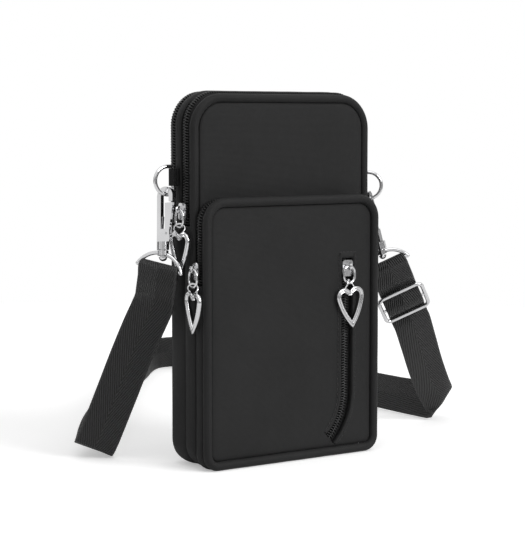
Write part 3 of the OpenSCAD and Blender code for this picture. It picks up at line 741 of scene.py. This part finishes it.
def face_at(x, z, rise):
    """A point at a rise over the pocket's face, beside the slot."""
    out = pad_face(edge_distance(POCKET, PANEL_IN, x, z), x, z, *POCKET_PAD)
    return (x, FACE_Y - out - rise, z)


def slot_lips():
    """Two folded lips of cloth along the slot, with a fine crinkle, and a bar over its top."""
    for side, name in ((-1, "slot_lip_left"), (1, "slot_lip_right")):
        sections = []
        for x, z, nx, nz in slot_line(-LIP_PAST, SLOT_END - LIP_PAST, LIP_STEP):
            inner = SLOT_W / 2 - LIP_OVER + LIP_CRINKLE * soft_noise(x, 0, z, 5, 21 + side)
            outer = inner + LIP_W + LIP_UNEVEN * soft_noise(x, 0, z, 9, 31)
            section = []
            for t, rise in LIP_FORM:
                d = side * (inner + (outer - inner) * t)
                section.append(face_at(x + d * nx, z + d * nz, rise))
            sections.append(section)
        piece(name, loft(sections), NYLON)
    lean, half, sections = radians(SLANT_LEAN), SLOT_W / 2 + TOP_BAR_OVER, []
    for k in range(13):
        u = -half + 2 * half * k / 12
        x, z = SLANT_TOP[0] + u * cos(lean), SLANT_TOP[1] - u * sin(lean)
        sections.append([face_at(x, z + v, rise) for v, rise in TOP_BAR_FORM])
    piece("slot_top_bar", loft(sections), NYLON)


# Rolled edges, walls and inner layers. A wave is its height and size, and in places its seed
FINE_STEP = 0.9
ROLL_OVER = 0.04
ROLL_WAVE = (0.07, 8)
WALL_WAVE = (0.1, 26)
POCKET_SIDE_Y = -13.3
WALL_DEEP = 1.3
REAR_WALL_DEEP = 1.6
BINDING_SINK = 0.9
BINDING_FULL = 0.4
BINDING_T = 1.5
BINDING_WAVE = (0.06, 9, 51)
FACING_IN = 2
FACING_W = 1.2
FACING_T = 1.2
FACING_WAVE = (0.05, 20, 1)
SHEET_IN = 1.8
SHEET_T = 1
SHEET_PAD = (61, 0.15, 0.1)


def swept(name, path, profile, wave, material, stands_for, closed=True):
    """A piece that follows an outline."""
    form = loft(sweep(path, profile, *wave), closed)
    piece(name, form, material, stands_for=stands_for)


def rolled_edge(name, shape, inset, y, seed, stands_for):
    """Soft rolled edge: a full roll whose skin puckers faintly along the seam."""
    profile = [(inset - u, y + v) for u, v in ring(ROLL_R + ROLL_OVER, 18)]
    swept(name, outline(shape, FINE_STEP), profile, (*ROLL_WAVE, seed), SHADED_EDGE_NYLON,
          stands_for)


def side_walls():
    main = lower(outline(POUCH), MAIN_END_Z)
    pocket = lower(outline(POCKET), POCKET_END_Z)
    for name, path, y0, y1, deep, seed in (
            ("rear", main, MIDDLE_NOTCH_Y, WALL_BACK_Y, REAR_WALL_DEEP, 41),
            ("middle", main, POCKET_NOTCH_Y, MIDDLE_NOTCH_Y, WALL_DEEP, 42),
            ("pocket", pocket, POCKET_SIDE_Y, POCKET_NOTCH_Y - PAD_GAP, WALL_DEEP, 43)):
        swept(name + "_side_wall", path, lobe_profile(y0, y1, deep), (*WALL_WAVE, seed), NYLON,
              [name + "_gusset"], False)


def binding():
    """Flat fold of cloth between the two main zips, slightly full at its middle."""
    y0, y1 = DIVIDER_Y - BINDING_W / 2, DIVIDER_Y + BINDING_W / 2
    profile = []
    for k in range(9):
        sink = BINDING_SINK * (1 - sin(pi * k / 8) ** BINDING_FULL)
        profile.append((TRIM_IN + sink, y0 + (y1 - y0) * k / 8))
    profile += [(TRIM_IN + BINDING_T, y1 - 0.1), (TRIM_IN + BINDING_T, y0 + 0.1)]
    swept("divider_edge", outline(POUCH, FINE_STEP), profile, BINDING_WAVE, SHADED_EDGE_NYLON,
          ["divider_binding"])


def inner_layers():
    """The lining band behind the rear wall, and the sheet between the two main compartments."""
    facing = strip_profile(FACING_IN, FACING_IN + FACING_W, WALL_BACK_Y + PAD_GAP,
                           WALL_BACK_Y + FACING_T)
    swept("back_facing_band", outline(POUCH), facing, FACING_WAVE, LINING,
          ["back_facing"])
    half = SHEET_T / 2
    form = pad(POUCH, SHEET_IN, DIVIDER_Y - half, DIVIDER_Y + half, -1, *SHEET_PAD)
    piece("divider_sheet", form, LINING, stands_for=["divider_panel"])


# Zips: tapes and interlocked teeth
TAPE_OVER = 0.15
TAPE_WAVE = (0.04, 12, 71)
COIL_GAP = 0.35
TOOTH_LEAN = 0.42
TOOTH_RISE_SHARE = 0.8
TOOTH_BACK = 0.25
TOOTH_OVER = 0.15

# A tooth from the middle line to the coil's edge: share of the way, rise share and radius
TOOTH_FORM = ((0.0, 0.42, 0.46), (0.16, 0.6, 0.42), (0.42, 0.7, 0.3), (0.7, 0.66, 0.27),
              (0.9, 0.46, 0.28), (1.0, 0.16, 0.2))


def tapes(name, path, wall, middle):
    both = Parts()
    for y0, y1 in ((wall[0] - TAPE_OVER, middle - COIL_GAP),
                   (middle + COIL_GAP, wall[1] + TAPE_OVER)):
        profile = strip_profile(TAPE_IN, TAPE_IN + TAPE_T, y0, y1)
        both.add_loft(sweep(path, profile, *TAPE_WAVE))
    piece(name + "_tapes", both.form, TAPE, stands_for=[name + "_zip_tape"])


def tooth(parts, origin, along, across, out, half):
    """One coil element: a slanting loop from the middle line to the coil's edge."""
    sections = []
    for t, rise, r in TOOTH_FORM:
        center = (origin + across * (half * t) + along * (TOOTH_LEAN * t)
                  + out * (rise * COIL_T * TOOTH_RISE_SHARE))
        sections.append([tuple(center + along * u + out * v) for u, v in ring(r, 6)])
    parts.add_loft(sections)


def resample(points, pitch):
    """Places at an even pitch along a line of points, each with its run."""
    pts = [Vector(p) for p in points]
    places, left = [], 0.0
    for a, b in zip(pts, pts[1:]):
        length = (b - a).length
        s = left
        while s < length:
            places.append((a + (b - a) * (s / length), (b - a).normalized()))
            s += pitch
        left = s - length
    return places


def coil(name, line_points, out_of, width):
    """Two rows of teeth that mesh along a middle line."""
    parts = Parts()
    for k, (p, run) in enumerate(resample(line_points, TOOTH_PITCH / 2)):
        out = Vector(out_of(p))
        out = (out - run * out.dot(run)).normalized()
        side = run.cross(out).normalized() * (1 if k % 2 else -1)
        tooth(parts, p - side * TOOTH_BACK, run, side, out, width / 2 + TOOTH_OVER)
    piece(name + "_teeth", parts.form, COIL, stands_for=[name + "_zip_coil"])


def pouch_out(shape):
    """Outward direction of a pouch wall at a point."""
    w, h, top, bottom = shape

    def out(p):
        r = top if p.z > h / 2 else bottom
        cx = max(min(p.x, w / 2 - r), r - w / 2)
        cz = h - r if p.z > h - r else (r if p.z < r else p.z)
        d = Vector((p.x - cx, 0, p.z - cz))
        return d if d.length > 1 else Vector((1 if p.x > 0 else -1, 0, 0))
    return out


THREAD_DIP = 0.28


def thread(parts, p, run, out, length, r):
    """One stitch: a short thread that dips at both ends."""
    line_points = [p + run * (length * (t - 0.5)) - out * (THREAD_DIP * (2 * t - 1) ** 2)
                   for t in (0, 0.2, 0.5, 0.8, 1)]
    parts.add_loft(tube(line_points, r, 6))


def zips():
    main = upper(outline(POUCH), MAIN_END_Z)
    pocket = upper(outline(POCKET), POCKET_END_Z)
    rows = (("middle", main, MIDDLE_ZIP_Y, MIDDLE_WALL, POUCH, COIL_W),
            ("rear", main, REAR_ZIP_Y, REAR_WALL, POUCH, COIL_W),
            ("pocket", pocket, POCKET_ZIP_Y, POCKET_WALL, POCKET, SMALL_COIL_W))
    for name, path, y, wall, shape, width in rows:
        tapes(name, path, wall, y)
    for name, path, y, wall, shape, width in rows:
        coil(name, [put(p, TAPE_IN - PAD_GAP, y) for p in path], pouch_out(shape), width)


SLANT_TAPE_OVER = 0.9
SLANT_TAPE_GAP = 0.4
SLANT_TAPE_FROM = 0.2
SLANT_TAPE_SHORT = 0.3
SLANT_TEETH_IN = 0.8


def slant_zip():
    both = Parts()
    wide = SLOT_W / 2 + SLANT_TAPE_OVER
    for d0, d1 in ((-wide, -SLANT_TAPE_GAP), (SLANT_TAPE_GAP, wide)):
        both.add_loft(slot_strip(d0, d1, SLANT_TAPE_Y + 0.02, SLANT_TAPE_Y + TAPE_T,
                                 SLANT_TAPE_FROM, SLOT_END - SLANT_TAPE_SHORT))
    piece("slant_tapes", both.form, TAPE, stands_for=["slant_zip_tape"])
    middle = [(x, SLANT_TAPE_Y, z)
              for x, z, nx, nz in slot_line(SLANT_TEETH_IN, SLOT_END - SLANT_TEETH_IN)]
    coil("slant", middle, lambda p: (0, -1, 0), COIL_W)


# Lining bag behind the slant zip: width, height, corners, lowest point, and rings front to back
BAG = (54, 98, 8, 8)
BAG_Z = 4.2
BAG_FORM = ((1.6, 0), (0.5, 0.2), (0.1, 1.0), (0.5, 1.7), (1.6, 2.0))
BAG_BEHIND = 0.3
BAG_WAVE = 0.12


def slant_bag():
    """A soft, slightly uneven envelope."""
    x0 = POCKET[0] / 2 - PANEL_IN - PAD_GAP - BAG[0] / 2
    y0 = FACE_Y + PANEL_T + TAPE_T + BAG_BEHIND
    path = outline(BAG, 2.5)
    rings = []
    for inset, depth in BAG_FORM:
        y = y0 + depth
        rings.append([(p[0] - inset * p[2] + x0, y + BAG_WAVE * soft_noise(p[0], y, p[1], 15, 81),
                       p[1] - inset * p[3] + BAG_Z) for p in path])
    piece("slant_lining_bag", loft(rings), LINING, stands_for=["slant_pocket_bag"])


# Hardware frames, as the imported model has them
def pull_frame(at, facing, lean=0):
    """Frame of a zip pull: x across the zip, y up along it, z outwards."""
    return move(*at) @ turn("Z", facing) @ turn("X", 90) @ turn("Z", -lean)


def clip_frame(at, clip):
    return move(*at) @ turn("Z", clip[1]) @ turn("Y", -clip[2]) @ turn("Z", clip[0] - clip[1])


def boss_frame(at, clip):
    stem = (STEM_X * cos(radians(clip[4])), STEM_X * sin(radians(clip[4])), -BOSS_DROP)
    return clip_frame(at, clip) @ move(*stem)


def clip_place(ring_at, ring_turn):
    past = CLIP_REACH - RING_REACH + RING_R
    drop = -sqrt(RING_R ** 2 - past ** 2)
    a = radians(ring_turn)
    return ring_at[0] + CLIP_REACH * cos(a), ring_at[1] + CLIP_REACH * sin(a), ring_at[2] + drop


LEFT_AT = clip_place(LEFT_RING_AT, 180)
RIGHT_AT = clip_place(RIGHT_RING_AT, RIGHT_RING_TURN)
PULLS = {
    "middle": ((-POUCH[0] / 2 + TRIM_IN, MIDDLE_ZIP_Y, MAIN_END_Z + SLIDER_RISE), -90, 0),
    "rear": ((POUCH[0] / 2 - TRIM_IN, REAR_ZIP_Y, MAIN_END_Z + SLIDER_RISE), 90, 0),
    "pocket": ((-POCKET[0] / 2 + TRIM_IN, POCKET_ZIP_Y, POCKET_END_Z + SLIDER_RISE), -90, 0),
    "slant": ((SLANT_TOP[0] - SLIDER_RISE * sin(radians(SLANT_LEAN)), SLANT_TAPE_Y - COIL_T,
               SLANT_TOP[1] - SLIDER_RISE * cos(radians(SLANT_LEAN))), 0, SLANT_LEAN),
}


# Heart pulls: a ridged band round a heart, and the arch that links it to its bail.
# The band's section, from its outer edge in: distance and share of half its thickness
HEART_PROFILE = (
    (0.02, 0.0), (0.08, 0.45), (0.3, 0.8), (0.7, 0.98), (1.1, 0.86), (1.4, 0.5), (1.6, 0.32),
    (1.78, 0.5), (2.02, 0.72), (2.3, 0.62), (2.48, 0.3), (2.5, 0.0),
)
LOBE_X = HEART_W / 2 - HEART_R
NOTCH_Y = sqrt(HEART_R ** 2 - LOBE_X ** 2)
ARCH_FROM = -62
ARCH_SWEEP = 304
ARCH_EASE = 1.2
ARCH_ENDS = 3
FOOT_SHARE = 0.62
FOOT_IN = 0.9
LOBE_STEPS = 26
SIDE_STEPS = 14
FAN_STEPS = 6

# How the hanging hearts rest: leaned in their own plane, and turned about their length
HEART_LEAN = {"slant": 6}
HEART_TWIST = {"pocket": -9}


def heart_line():
    """Points round the heart's outer edge with their inset directions, about the lobes' middle."""
    tip = HEART_H - HEART_R
    side = radians(SIDE_TURN)
    back = ((LOBE_X ** 2 + tip ** 2 - HEART_R ** 2)
            / (2 * (HEART_R + LOBE_X * cos(side) - tip * sin(side))))
    middle = (LOBE_X - back * cos(side), back * sin(side))
    big = back + HEART_R
    tip_turn = acos(-middle[0] / big)
    right = []
    top = atan2(NOTCH_Y, -LOBE_X)
    for k in range(LOBE_STEPS + 1):
        a = top + (-side - top) * k / LOBE_STEPS
        right.append((LOBE_X + HEART_R * cos(a), HEART_R * sin(a), cos(a), sin(a)))
    for k in range(1, SIDE_STEPS):
        a = -side - (tip_turn - side) * k / SIDE_STEPS
        right.append((middle[0] + big * cos(a), middle[1] + big * sin(a), cos(a), sin(a)))
    point = [(0, -tip, 0, -1 / sin(tip_turn))]
    left = [(-x, y, -nx, ny) for x, y, nx, ny in reversed(right)]
    fan = []
    for k in range(1, FAN_STEPS):
        a = (pi - top) + (2 * top - pi) * k / FAN_STEPS
        fan.append((0, NOTCH_Y, -cos(a), sin(a)))
    return right + point + left + fan


def heart_form(parts, frame_at):
    """The band, and the arch that leans out of its plane to lie over the bail's wire."""
    profile = list(HEART_PROFILE) + [(d, -h) for d, h in reversed(HEART_PROFILE[1:-1])]
    lift = NOTCH_Y - NOTCH_UP + LINK_R
    sections = []
    for x, y, nx, ny in heart_line():
        section = [(x - d * nx, y - d * ny - lift, h * HEART_T / 2) for d, h in profile]
        sections.append(turned(frame_at, section))
    parts.add_loft(sections, True)
    arch = []
    for k in range(25):
        a = radians(ARCH_FROM + ARCH_SWEEP * k / 24)
        x, y = LINK_R * cos(a), LINK_R * sin(a)
        ease = max(0.0, min(1.0, (y + ARCH_EASE) / (2 * ARCH_EASE)))
        lean = radians(LINK_TURN * ease)
        arch.append((x * cos(lean), y, -x * sin(lean)))
    foot = (LOBE_X * FOOT_SHARE, -lift + HEART_R - FOOT_IN, 0)
    arch = [foot] + arch[ARCH_ENDS:-ARCH_ENDS] + [(-foot[0], foot[1], 0)]
    parts.add_loft([turned(frame_at, section) for section in tube(arch, LINK_WIRE / 2 - 0.02, 12)])


def hearts():
    for name, (at, facing, lean) in PULLS.items():
        hinge = pull_frame(at, facing, lean) @ move(0, CROWN_UP - BAIL_L - LINK_UP, BAIL_UP)
        hinge = hinge @ turn("Z", HEART_LEAN.get(name, 0)) @ turn("Y", HEART_TWIST.get(name, 0))
        parts = Parts()
        heart_form(parts, hinge)
        piece(name + "_heart_pull", parts.form, CHROME, name + "_heart",
              [name + "_heart"])


# Side tabs: a strip of webbing folded round the ring's bar and sewn to the pouch
TAB_SEGMENTS = 8
TAB_TURN = 115
TAB_GAP = 0.05
TAB_SEAT = 0.35
TAB_FOOT = (0.5, 0.9)
TAB_SOFT = 0.2


def side_tab(name, ring_at, node_name):
    side = -1 if ring_at[0] < 0 else 1
    wall = side * (POUCH[0] / 2 + TAB_GAP)
    y0, y1 = DIVIDER_Y - BINDING_W / 2, DIVIDER_Y + BINDING_W / 2
    loop = [(wall + side * TAB_SEAT, y1 - TAB_SOFT)]
    for k in range(17):
        a = radians(TAB_TURN - 2 * TAB_TURN * k / 16)
        loop.append((ring_at[0] + side * TAB_R * cos(a), ring_at[1] + TAB_R * sin(a)))
    loop.append((wall + side * TAB_FOOT[0], y0 + TAB_FOOT[1]))
    loop.append((wall + side * TAB_SEAT, y0 + TAB_SOFT))
    outer, inner = [], []
    for i, (x, y) in enumerate(loop):
        a, b = loop[max(i - 1, 0)], loop[min(i + 1, len(loop) - 1)]
        tx, ty = b[0] - a[0], b[1] - a[1]
        size = sqrt(tx * tx + ty * ty)
        nx, ny = -ty / size * side, tx / size * side
        outer.append((x + nx * TAB_T / 2, y + ny * TAB_T / 2))
        inner.append((x - nx * TAB_T / 2, y - ny * TAB_T / 2))
    sections = []
    for k in range(TAB_SEGMENTS + 1):
        z = ring_at[2] + TAB_RISE + TAB_W * (k / TAB_SEGMENTS - 0.5)
        sections.append([(x, y, z) for x, y in outer + inner[::-1]])
    obj = piece(name, loft(sections), TAB_WEB, stands_for=[node_name])
    ease_edges(obj, TAB_SOFT, 30)


# Webbing: a band with thick rounded edges, laid along a route. A quarter of its section
# is given, as shares of the half width and of the thickness
BAND_QUARTER = ((1, 0.25), (0.985, 0.42), (0.95, 0.5), (0.8, 0.5), (0.6, 0.5), (0.4, 0.5),
                (0.2, 0.5))
BAND_LOW = ([(-u, -t) for u, t in BAND_QUARTER] + [(0, -0.5)]
            + [(u, -t) for u, t in reversed(BAND_QUARTER)])
BAND_FORM = BAND_LOW + [(u, -t) for u, t in reversed(BAND_LOW)]

# The run's even step and slow waves, and the waves' size along and across the webbing
RUN_STEP = 2.4
RUN_WAVE = 0.35
WAVE_LONG = 22
WAVE_ACROSS = 9
WAVE_SEED = 90


def curve_through(points, step):
    """Catmull-Rom curve through points, at about an even step."""
    pts = [Vector(p) for p in points]
    pts = [pts[0] * 2 - pts[1]] + pts + [pts[-1] * 2 - pts[-2]]
    out = []
    for a, b, c, d in zip(pts, pts[1:], pts[2:], pts[3:]):
        count = max(1, int((c - b).length / step))
        for k in range(count):
            t = k / count
            out.append(0.5 * ((2 * b) + (c - a) * t + (2 * a - 5 * b + 4 * c - d) * t * t
                              + (3 * b - a - 3 * c + d) * t ** 3))
    out.append(pts[-2].copy())
    return out


def shared_curves(route, across, step):
    """The route and the direction across it, resampled together."""
    side = []
    for p, q, a, b in zip(route, route[1:], across, across[1:]):
        count = max(1, int((Vector(q) - Vector(p)).length / step))
        for k in range(count):
            side.append(Vector(a).lerp(Vector(b), k / count))
    side.append(Vector(across[-1]))
    return curve_through(route, step), side


def band(name, route, across, body, stands_for, start=0.0, step=1.6, wave=0.0, taper=None,
         bulge=None):
    """Webbing along a route. Returns the piece and its length; the ribs follow the length."""
    line_points, sides = shared_curves(route, across, step)
    last = len(line_points) - 1
    sections, uv, at = [], [], start
    for i, p in enumerate(line_points):
        if i:
            at += (p - line_points[i - 1]).length
        run = (line_points[min(i + 1, last)] - line_points[max(i - 1, 0)]).normalized()
        wide = sides[i] - run * run.dot(sides[i])
        wide.normalize()
        out = run.cross(wide).normalized()
        half = STRAP_W / 2 * (taper(i / last) if taper else 1)
        full = bulge(i / last) if bulge else 0
        section = []
        for u, t in BAND_FORM:
            lift = wave * soft_noise(at, WAVE_ACROSS * u, 0, WAVE_LONG, WAVE_SEED)
            lift += full * (1 - u * u)
            section.append(tuple(p + wide * (half * u) + out * (STRAP_T * t + lift)))
            uv.append((half * u * MM, at * MM))
        sections.append(section)
    obj = piece(name, loft(sections), WEBBING, body, stands_for, uv=uv)
    return obj, at - start


def end_frame(at, clip, lean):
    """Frame of a sewn end: x across the webbing, z up to the strap ring's bar."""
    return boss_frame(at, clip) @ turn("Y", clip[3]) @ move(0, 0, -EYE_DROP) @ turn("X", lean)


def end_join(frame_at):
    """Where a leg runs on from a sewn end's front layer: its two points and the way across."""
    points = turned(frame_at, [(0, -STRAP_T / 2, -JOIN_DROP), (0, -STRAP_T / 2, -END_L)])
    return points, tuple(frame_at.to_3x3() @ Vector((STRAP_W, 0, 0)))


# A sewn end: the run of its rear layer (out past the layer, height), the front layer's, and its
# stitching
END_REAR = ((0, -END_L), (0, -9), (0.05, -5.6), (0.5, -3.2))
END_FRONT = ((0.5, -3.2), (0.05, -5.0), (0, -JOIN_DROP))
END_TURN = (-25, 230)
END_STEP = 0.7
BOX_IN = 1.8
BOX_UP = 1.5
BOX_TOP = -5.6
BOX_PITCH = 2.1
BOX_STITCH = 1.5
THREAD_R = 0.2
THREAD_OVER = 0.02


def strap_end(name, frame_at, body, node_name, start, front_first):
    """The sewn end: webbing folded over the strap ring's bar, and sewn on its rear layer."""
    r, layer = BAR_TURN_R, STRAP_T / 2
    route = [(0, layer + out, z) for out, z in END_REAR]
    for k in range(13):
        a = radians(END_TURN[0] + END_TURN[1] * k / 12)
        route.append((0, r * cos(a), r * sin(a)))
    route += [(0, -layer - out, z) for out, z in END_FRONT]
    if front_first:
        route.reverse()
    points = turned(frame_at, route)
    turn_only = frame_at.to_3x3()
    across = [tuple(turn_only @ Vector((STRAP_W, 0, 0)))] * len(points)
    curve = curve_through(points, END_STEP)
    length = sum((q - p).length for p, q in zip(curve, curve[1:]))
    begin = start if front_first else start - length
    obj, length = band(name, points, across, body, [node_name], begin, END_STEP,
                       taper=lambda t: 1 - (1 - BAR_SHARE) * max(0, sin(pi * t)) ** 6)
    stitch = Parts()
    box_x, low, high = STRAP_W / 2 - BOX_IN, -END_L + BOX_UP, BOX_TOP
    corners = [(-box_x, low), (box_x, low), (box_x, high), (-box_x, high), (-box_x, low)]
    out = turn_only @ Vector((0, 1, 0))
    for row in (corners, [(-box_x, low), (box_x, high)], [(-box_x, high), (box_x, low)]):
        line_points = turned(frame_at, [(x, STRAP_T + THREAD_OVER, z) for x, z in row])
        for p, run in resample(line_points, BOX_PITCH):
            thread(stitch, p + run, run, out, BOX_STITCH, THREAD_R)
    piece(name + "_stitching", stitch.form, THREAD, body)


def fold(t):
    """How near a place of the right leg's foot is to its fold, from 0 to 1."""
    return exp(-((t - FOLD_AT) / FOLD_SPREAD) ** 2)


def meters(p):
    return tuple(v * MM for v in p)


def leg(name, route, across, stands_for, start, near, far, first, last, **form):
    """A leg's webbing, baked where it lies; the two bodies and two points that it is given are not
    used.
    """
    obj, length = band(name, route, across, None, stands_for, start, **form)
    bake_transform(obj)
    return start + length


def strap():
    """The loop: both sewn ends, the legs, and the run on the ground."""
    left = end_frame(LEFT_AT, LEFT_CLIP, LEFT_END_LEAN)
    right = end_frame(RIGHT_AT, RIGHT_CLIP, RIGHT_END_LEAN)
    strap_end("left_end_webbing", left, "left_clip", "left_strap_end", 0, False)
    k = LEFT_SPLIT
    joint, way = end_join(left)
    at = leg("left_leg_top", joint + LEFT_LEG[1:k + 1], [way, way] + LEFT_ACROSS[1:k + 1],
             ["left_strap_leg"], 0.0, "left_ring", "left_clip", LEFT_LEG[k], LEFT_LEG[0])
    at = leg("left_leg_foot", LEFT_LEG[k:], LEFT_ACROSS[k:], [], at,
             "root", "left_ring", LEFT_LEG[LEFT_FOOT], LEFT_LEG[k])
    run, length = band("strap_on_ground", RUN, RUN_ACROSS, "root", ["strap_run"], at, RUN_STEP,
                       RUN_WAVE)
    at += length
    k = RIGHT_SPLIT
    at = leg("right_leg_foot", RIGHT_LEG[:k + 1], RIGHT_ACROSS[:k + 1], ["right_strap_leg"], at,
             "root", "right_ring", RIGHT_LEG[RIGHT_FOOT], RIGHT_LEG[k],
             taper=lambda t: 1 + FOLD_WIDER * fold(t), bulge=lambda t: FOLD_FULL * fold(t))
    joint, way = end_join(right)
    way = tuple(-v for v in way)
    at = leg("right_leg_top", RIGHT_LEG[k:-1] + joint[::-1], RIGHT_ACROSS[k:-1] + [way, way], [],
             at, "right_ring", "right_clip", RIGHT_LEG[k], RIGHT_LEG[-1])
    strap_end("right_end_webbing", right, "right_clip", "right_strap_end",
              at, True)


# Stitches: over the slot's top, and beside its lips (length, radius, pitch, rise over the face)
TOP_STITCH = (1.6, 0.2, 2.2, 0.16)
LIP_STITCH = (1.9, 0.19, 2.5, 0.24)
TOP_ROW_UP = 1.9
LIP_ROW_OUT = SLOT_W / 2 + 1.55


def seam_stitches():
    """Rows of stitches: over the slot's top, and beside its lips."""
    parts = Parts()
    front = Vector((0, -1, 0))
    lean = radians(SLANT_LEAN)
    run = Vector((cos(lean), 0, -sin(lean)))
    length, r, pitch, rise = TOP_STITCH
    for k in range(-2, 3):
        u = pitch * k
        x, z = SLANT_TOP[0] + u * cos(lean), SLANT_TOP[1] + TOP_ROW_UP - u * sin(lean)
        thread(parts, Vector(face_at(x, z, rise)), run, front, length, r)
    length, r, pitch, rise = LIP_STITCH
    for out in (-LIP_ROW_OUT, LIP_ROW_OUT):
        line_points = [face_at(x + out * nx, z + out * nz, rise)
                       for x, z, nx, nz in slot_line(1, SLOT_END - 2)]
        for p, run in resample(line_points, pitch):
            thread(parts, p, run, front, length, r)
    piece("slot_stitches", parts.form, THREAD)


# Packed hardware: real metal, with edges eased by a width where they aren't round
SIDE_METAL = (("ring", 0), ("hook", 0.25), ("gate", 0.15), ("strap_ring", 0.2))
SLIDER_EASE = 0.25


def dress(name, material, ease=0.0):
    obj = bpy.data.objects[name]
    obj.data.materials.clear()
    obj.data.materials.append(material)
    if ease:
        ease_edges(obj, ease, 35)


def hardware():
    for side in ("left_", "right_"):
        for name, ease in SIDE_METAL:
            dress(side + name, CHROME, ease)
        dress(side + "gate_pin", STEEL)
        dress(side + "gate_spring", STEEL)
    for name in PULLS:
        dress(name + "_slider", CHROME, SLIDER_EASE)
        dress(name + "_bail", CHROME)
    dress("strap_slide", CHROME)


# Studio: a pale floor, soft light from the front and above, and a world that metal can mirror
FLOOR_AT = (0.03, 0.13)
FLOOR_R = 0.62
FLOOR_GLOW = 0.36
WHITE = (1, 1, 1, 1)
STRIPS = {"Scale": 0.85, "Distortion": 1.0, "Detail": 0}
STRIP_EDGES = (0.62, 0.86)
SKY_EDGES = (0.12, 0.5)

# Lamps: name, direction, power and spread in degrees. The camera's places are in millimetres
LAMPS = (("key", (-0.3, 0.8, -0.45), 1.5, 30), ("top", (0.2, 0.3, -1), 0.5, 50))
CAMERA_AT = (-487.2, -685.05, 163.6)
CAMERA_AIM = (-12.9, -7.75, 90.7)
CAMERA_LENS = 118.5


def paper_floor():
    """White paper, which the camera sees a little lighter than it is lit."""
    mesh = bpy.data.meshes.new("floor")
    rim = [(FLOOR_AT[0] + u, FLOOR_AT[1] + v, 0) for u, v in ring(FLOOR_R, 96)]
    mesh.from_pydata(rim, [], [tuple(range(96))])
    mat, tree, shader = graph("floor_paper")
    fill(shader, Base_Color=(0.94, 0.94, 0.94, 1), Roughness=0.9, Specular_IOR_Level=0.0)
    seen = node(tree, "LightPath").outputs["Is Camera Ray"]
    glow = node(tree, "Emission", Strength=math_node("MULTIPLY", seen, FLOOR_GLOW))
    fill(tree.nodes["Material Output"], Surface=node(tree, "AddShader", shader, glow))
    mesh.materials.append(mat)
    stand("floor", mesh)


def mirror_world():
    """White to the camera, plain light to cloth, and bright strips and sky to metal."""
    world = bpy.data.worlds.new("studio")
    bpy.context.scene.world = world
    world.use_nodes = True
    tree = world.node_tree
    tree.nodes.clear()
    place = node(tree, "TexCoord").outputs["Generated"]
    height = node(tree, "SeparateXYZ", place).outputs["Z"]
    bands = node(tree, "TexWave", Vector=place, **STRIPS).outputs["Fac"]
    steps = [node(tree, "MapRange", Value=value, From_Min=low, From_Max=high,
                  interpolation_type="SMOOTHSTEP")
             for value, (low, high) in ((bands, STRIP_EDGES), (height, SKY_EDGES))]
    lit = scaled(math_node("MAXIMUM", *steps), 0.9, 0.1)
    mirror = node(tree, "Background", Strength=lit)
    plain = node(tree, "Background", Color=WHITE, Strength=0.5)
    white = node(tree, "Background", Color=WHITE)
    rays = node(tree, "LightPath").outputs
    seen = node(tree, "MixShader", rays["Is Glossy Ray"], plain, mirror)
    seen = node(tree, "MixShader", rays["Is Camera Ray"], seen, white)
    node(tree, "OutputWorld", seen)


def faced(way):
    """The turn that faces a lamp or camera along a direction."""
    return Vector(way).to_track_quat("-Z", "Y").to_euler()


def lamps_and_camera():
    for name, way, power, spread in LAMPS:
        lamp = bpy.data.lights.new(name, "SUN")
        lamp.energy = power
        lamp.angle = radians(spread)
        stand(name, lamp).rotation_euler = faced(way)
    cam = bpy.data.cameras.new("camera")
    cam.sensor_fit = "HORIZONTAL"
    cam.sensor_width = 36
    cam.lens = CAMERA_LENS
    cam.clip_start, cam.clip_end = 0.05, 20
    eye = stand("camera", cam)
    eye.location = meters(CAMERA_AT)
    eye.rotation_euler = faced(Vector(CAMERA_AIM) - Vector(CAMERA_AT))
    bpy.context.scene.camera = eye


front_pad()
back_pad()
pocket_pad()
slot_lips()
rolled_edge("front_roll", FRONT, ROLL_IN, FRONT_Y, 11, ["front_piping"])
rolled_edge("pocket_roll", POCKET, ROLL_IN, POCKET_Y, 12, ["pocket_piping"])
rolled_edge("back_roll", POUCH, BACK_INSET + ROLL_IN, BACK_Y, 13, ["back_piping"])
side_walls()
binding()
inner_layers()
zips()
slant_zip()
slant_bag()
seam_stitches()
hearts()
side_tab("left_side_tab", LEFT_RING_AT, "left_tab")
side_tab("right_side_tab", RIGHT_RING_AT, "right_tab")
strap()
hardware()
paper_floor()
mirror_world()
lamps_and_camera()

view = bpy.context.scene.view_settings
view.view_transform = "Standard"
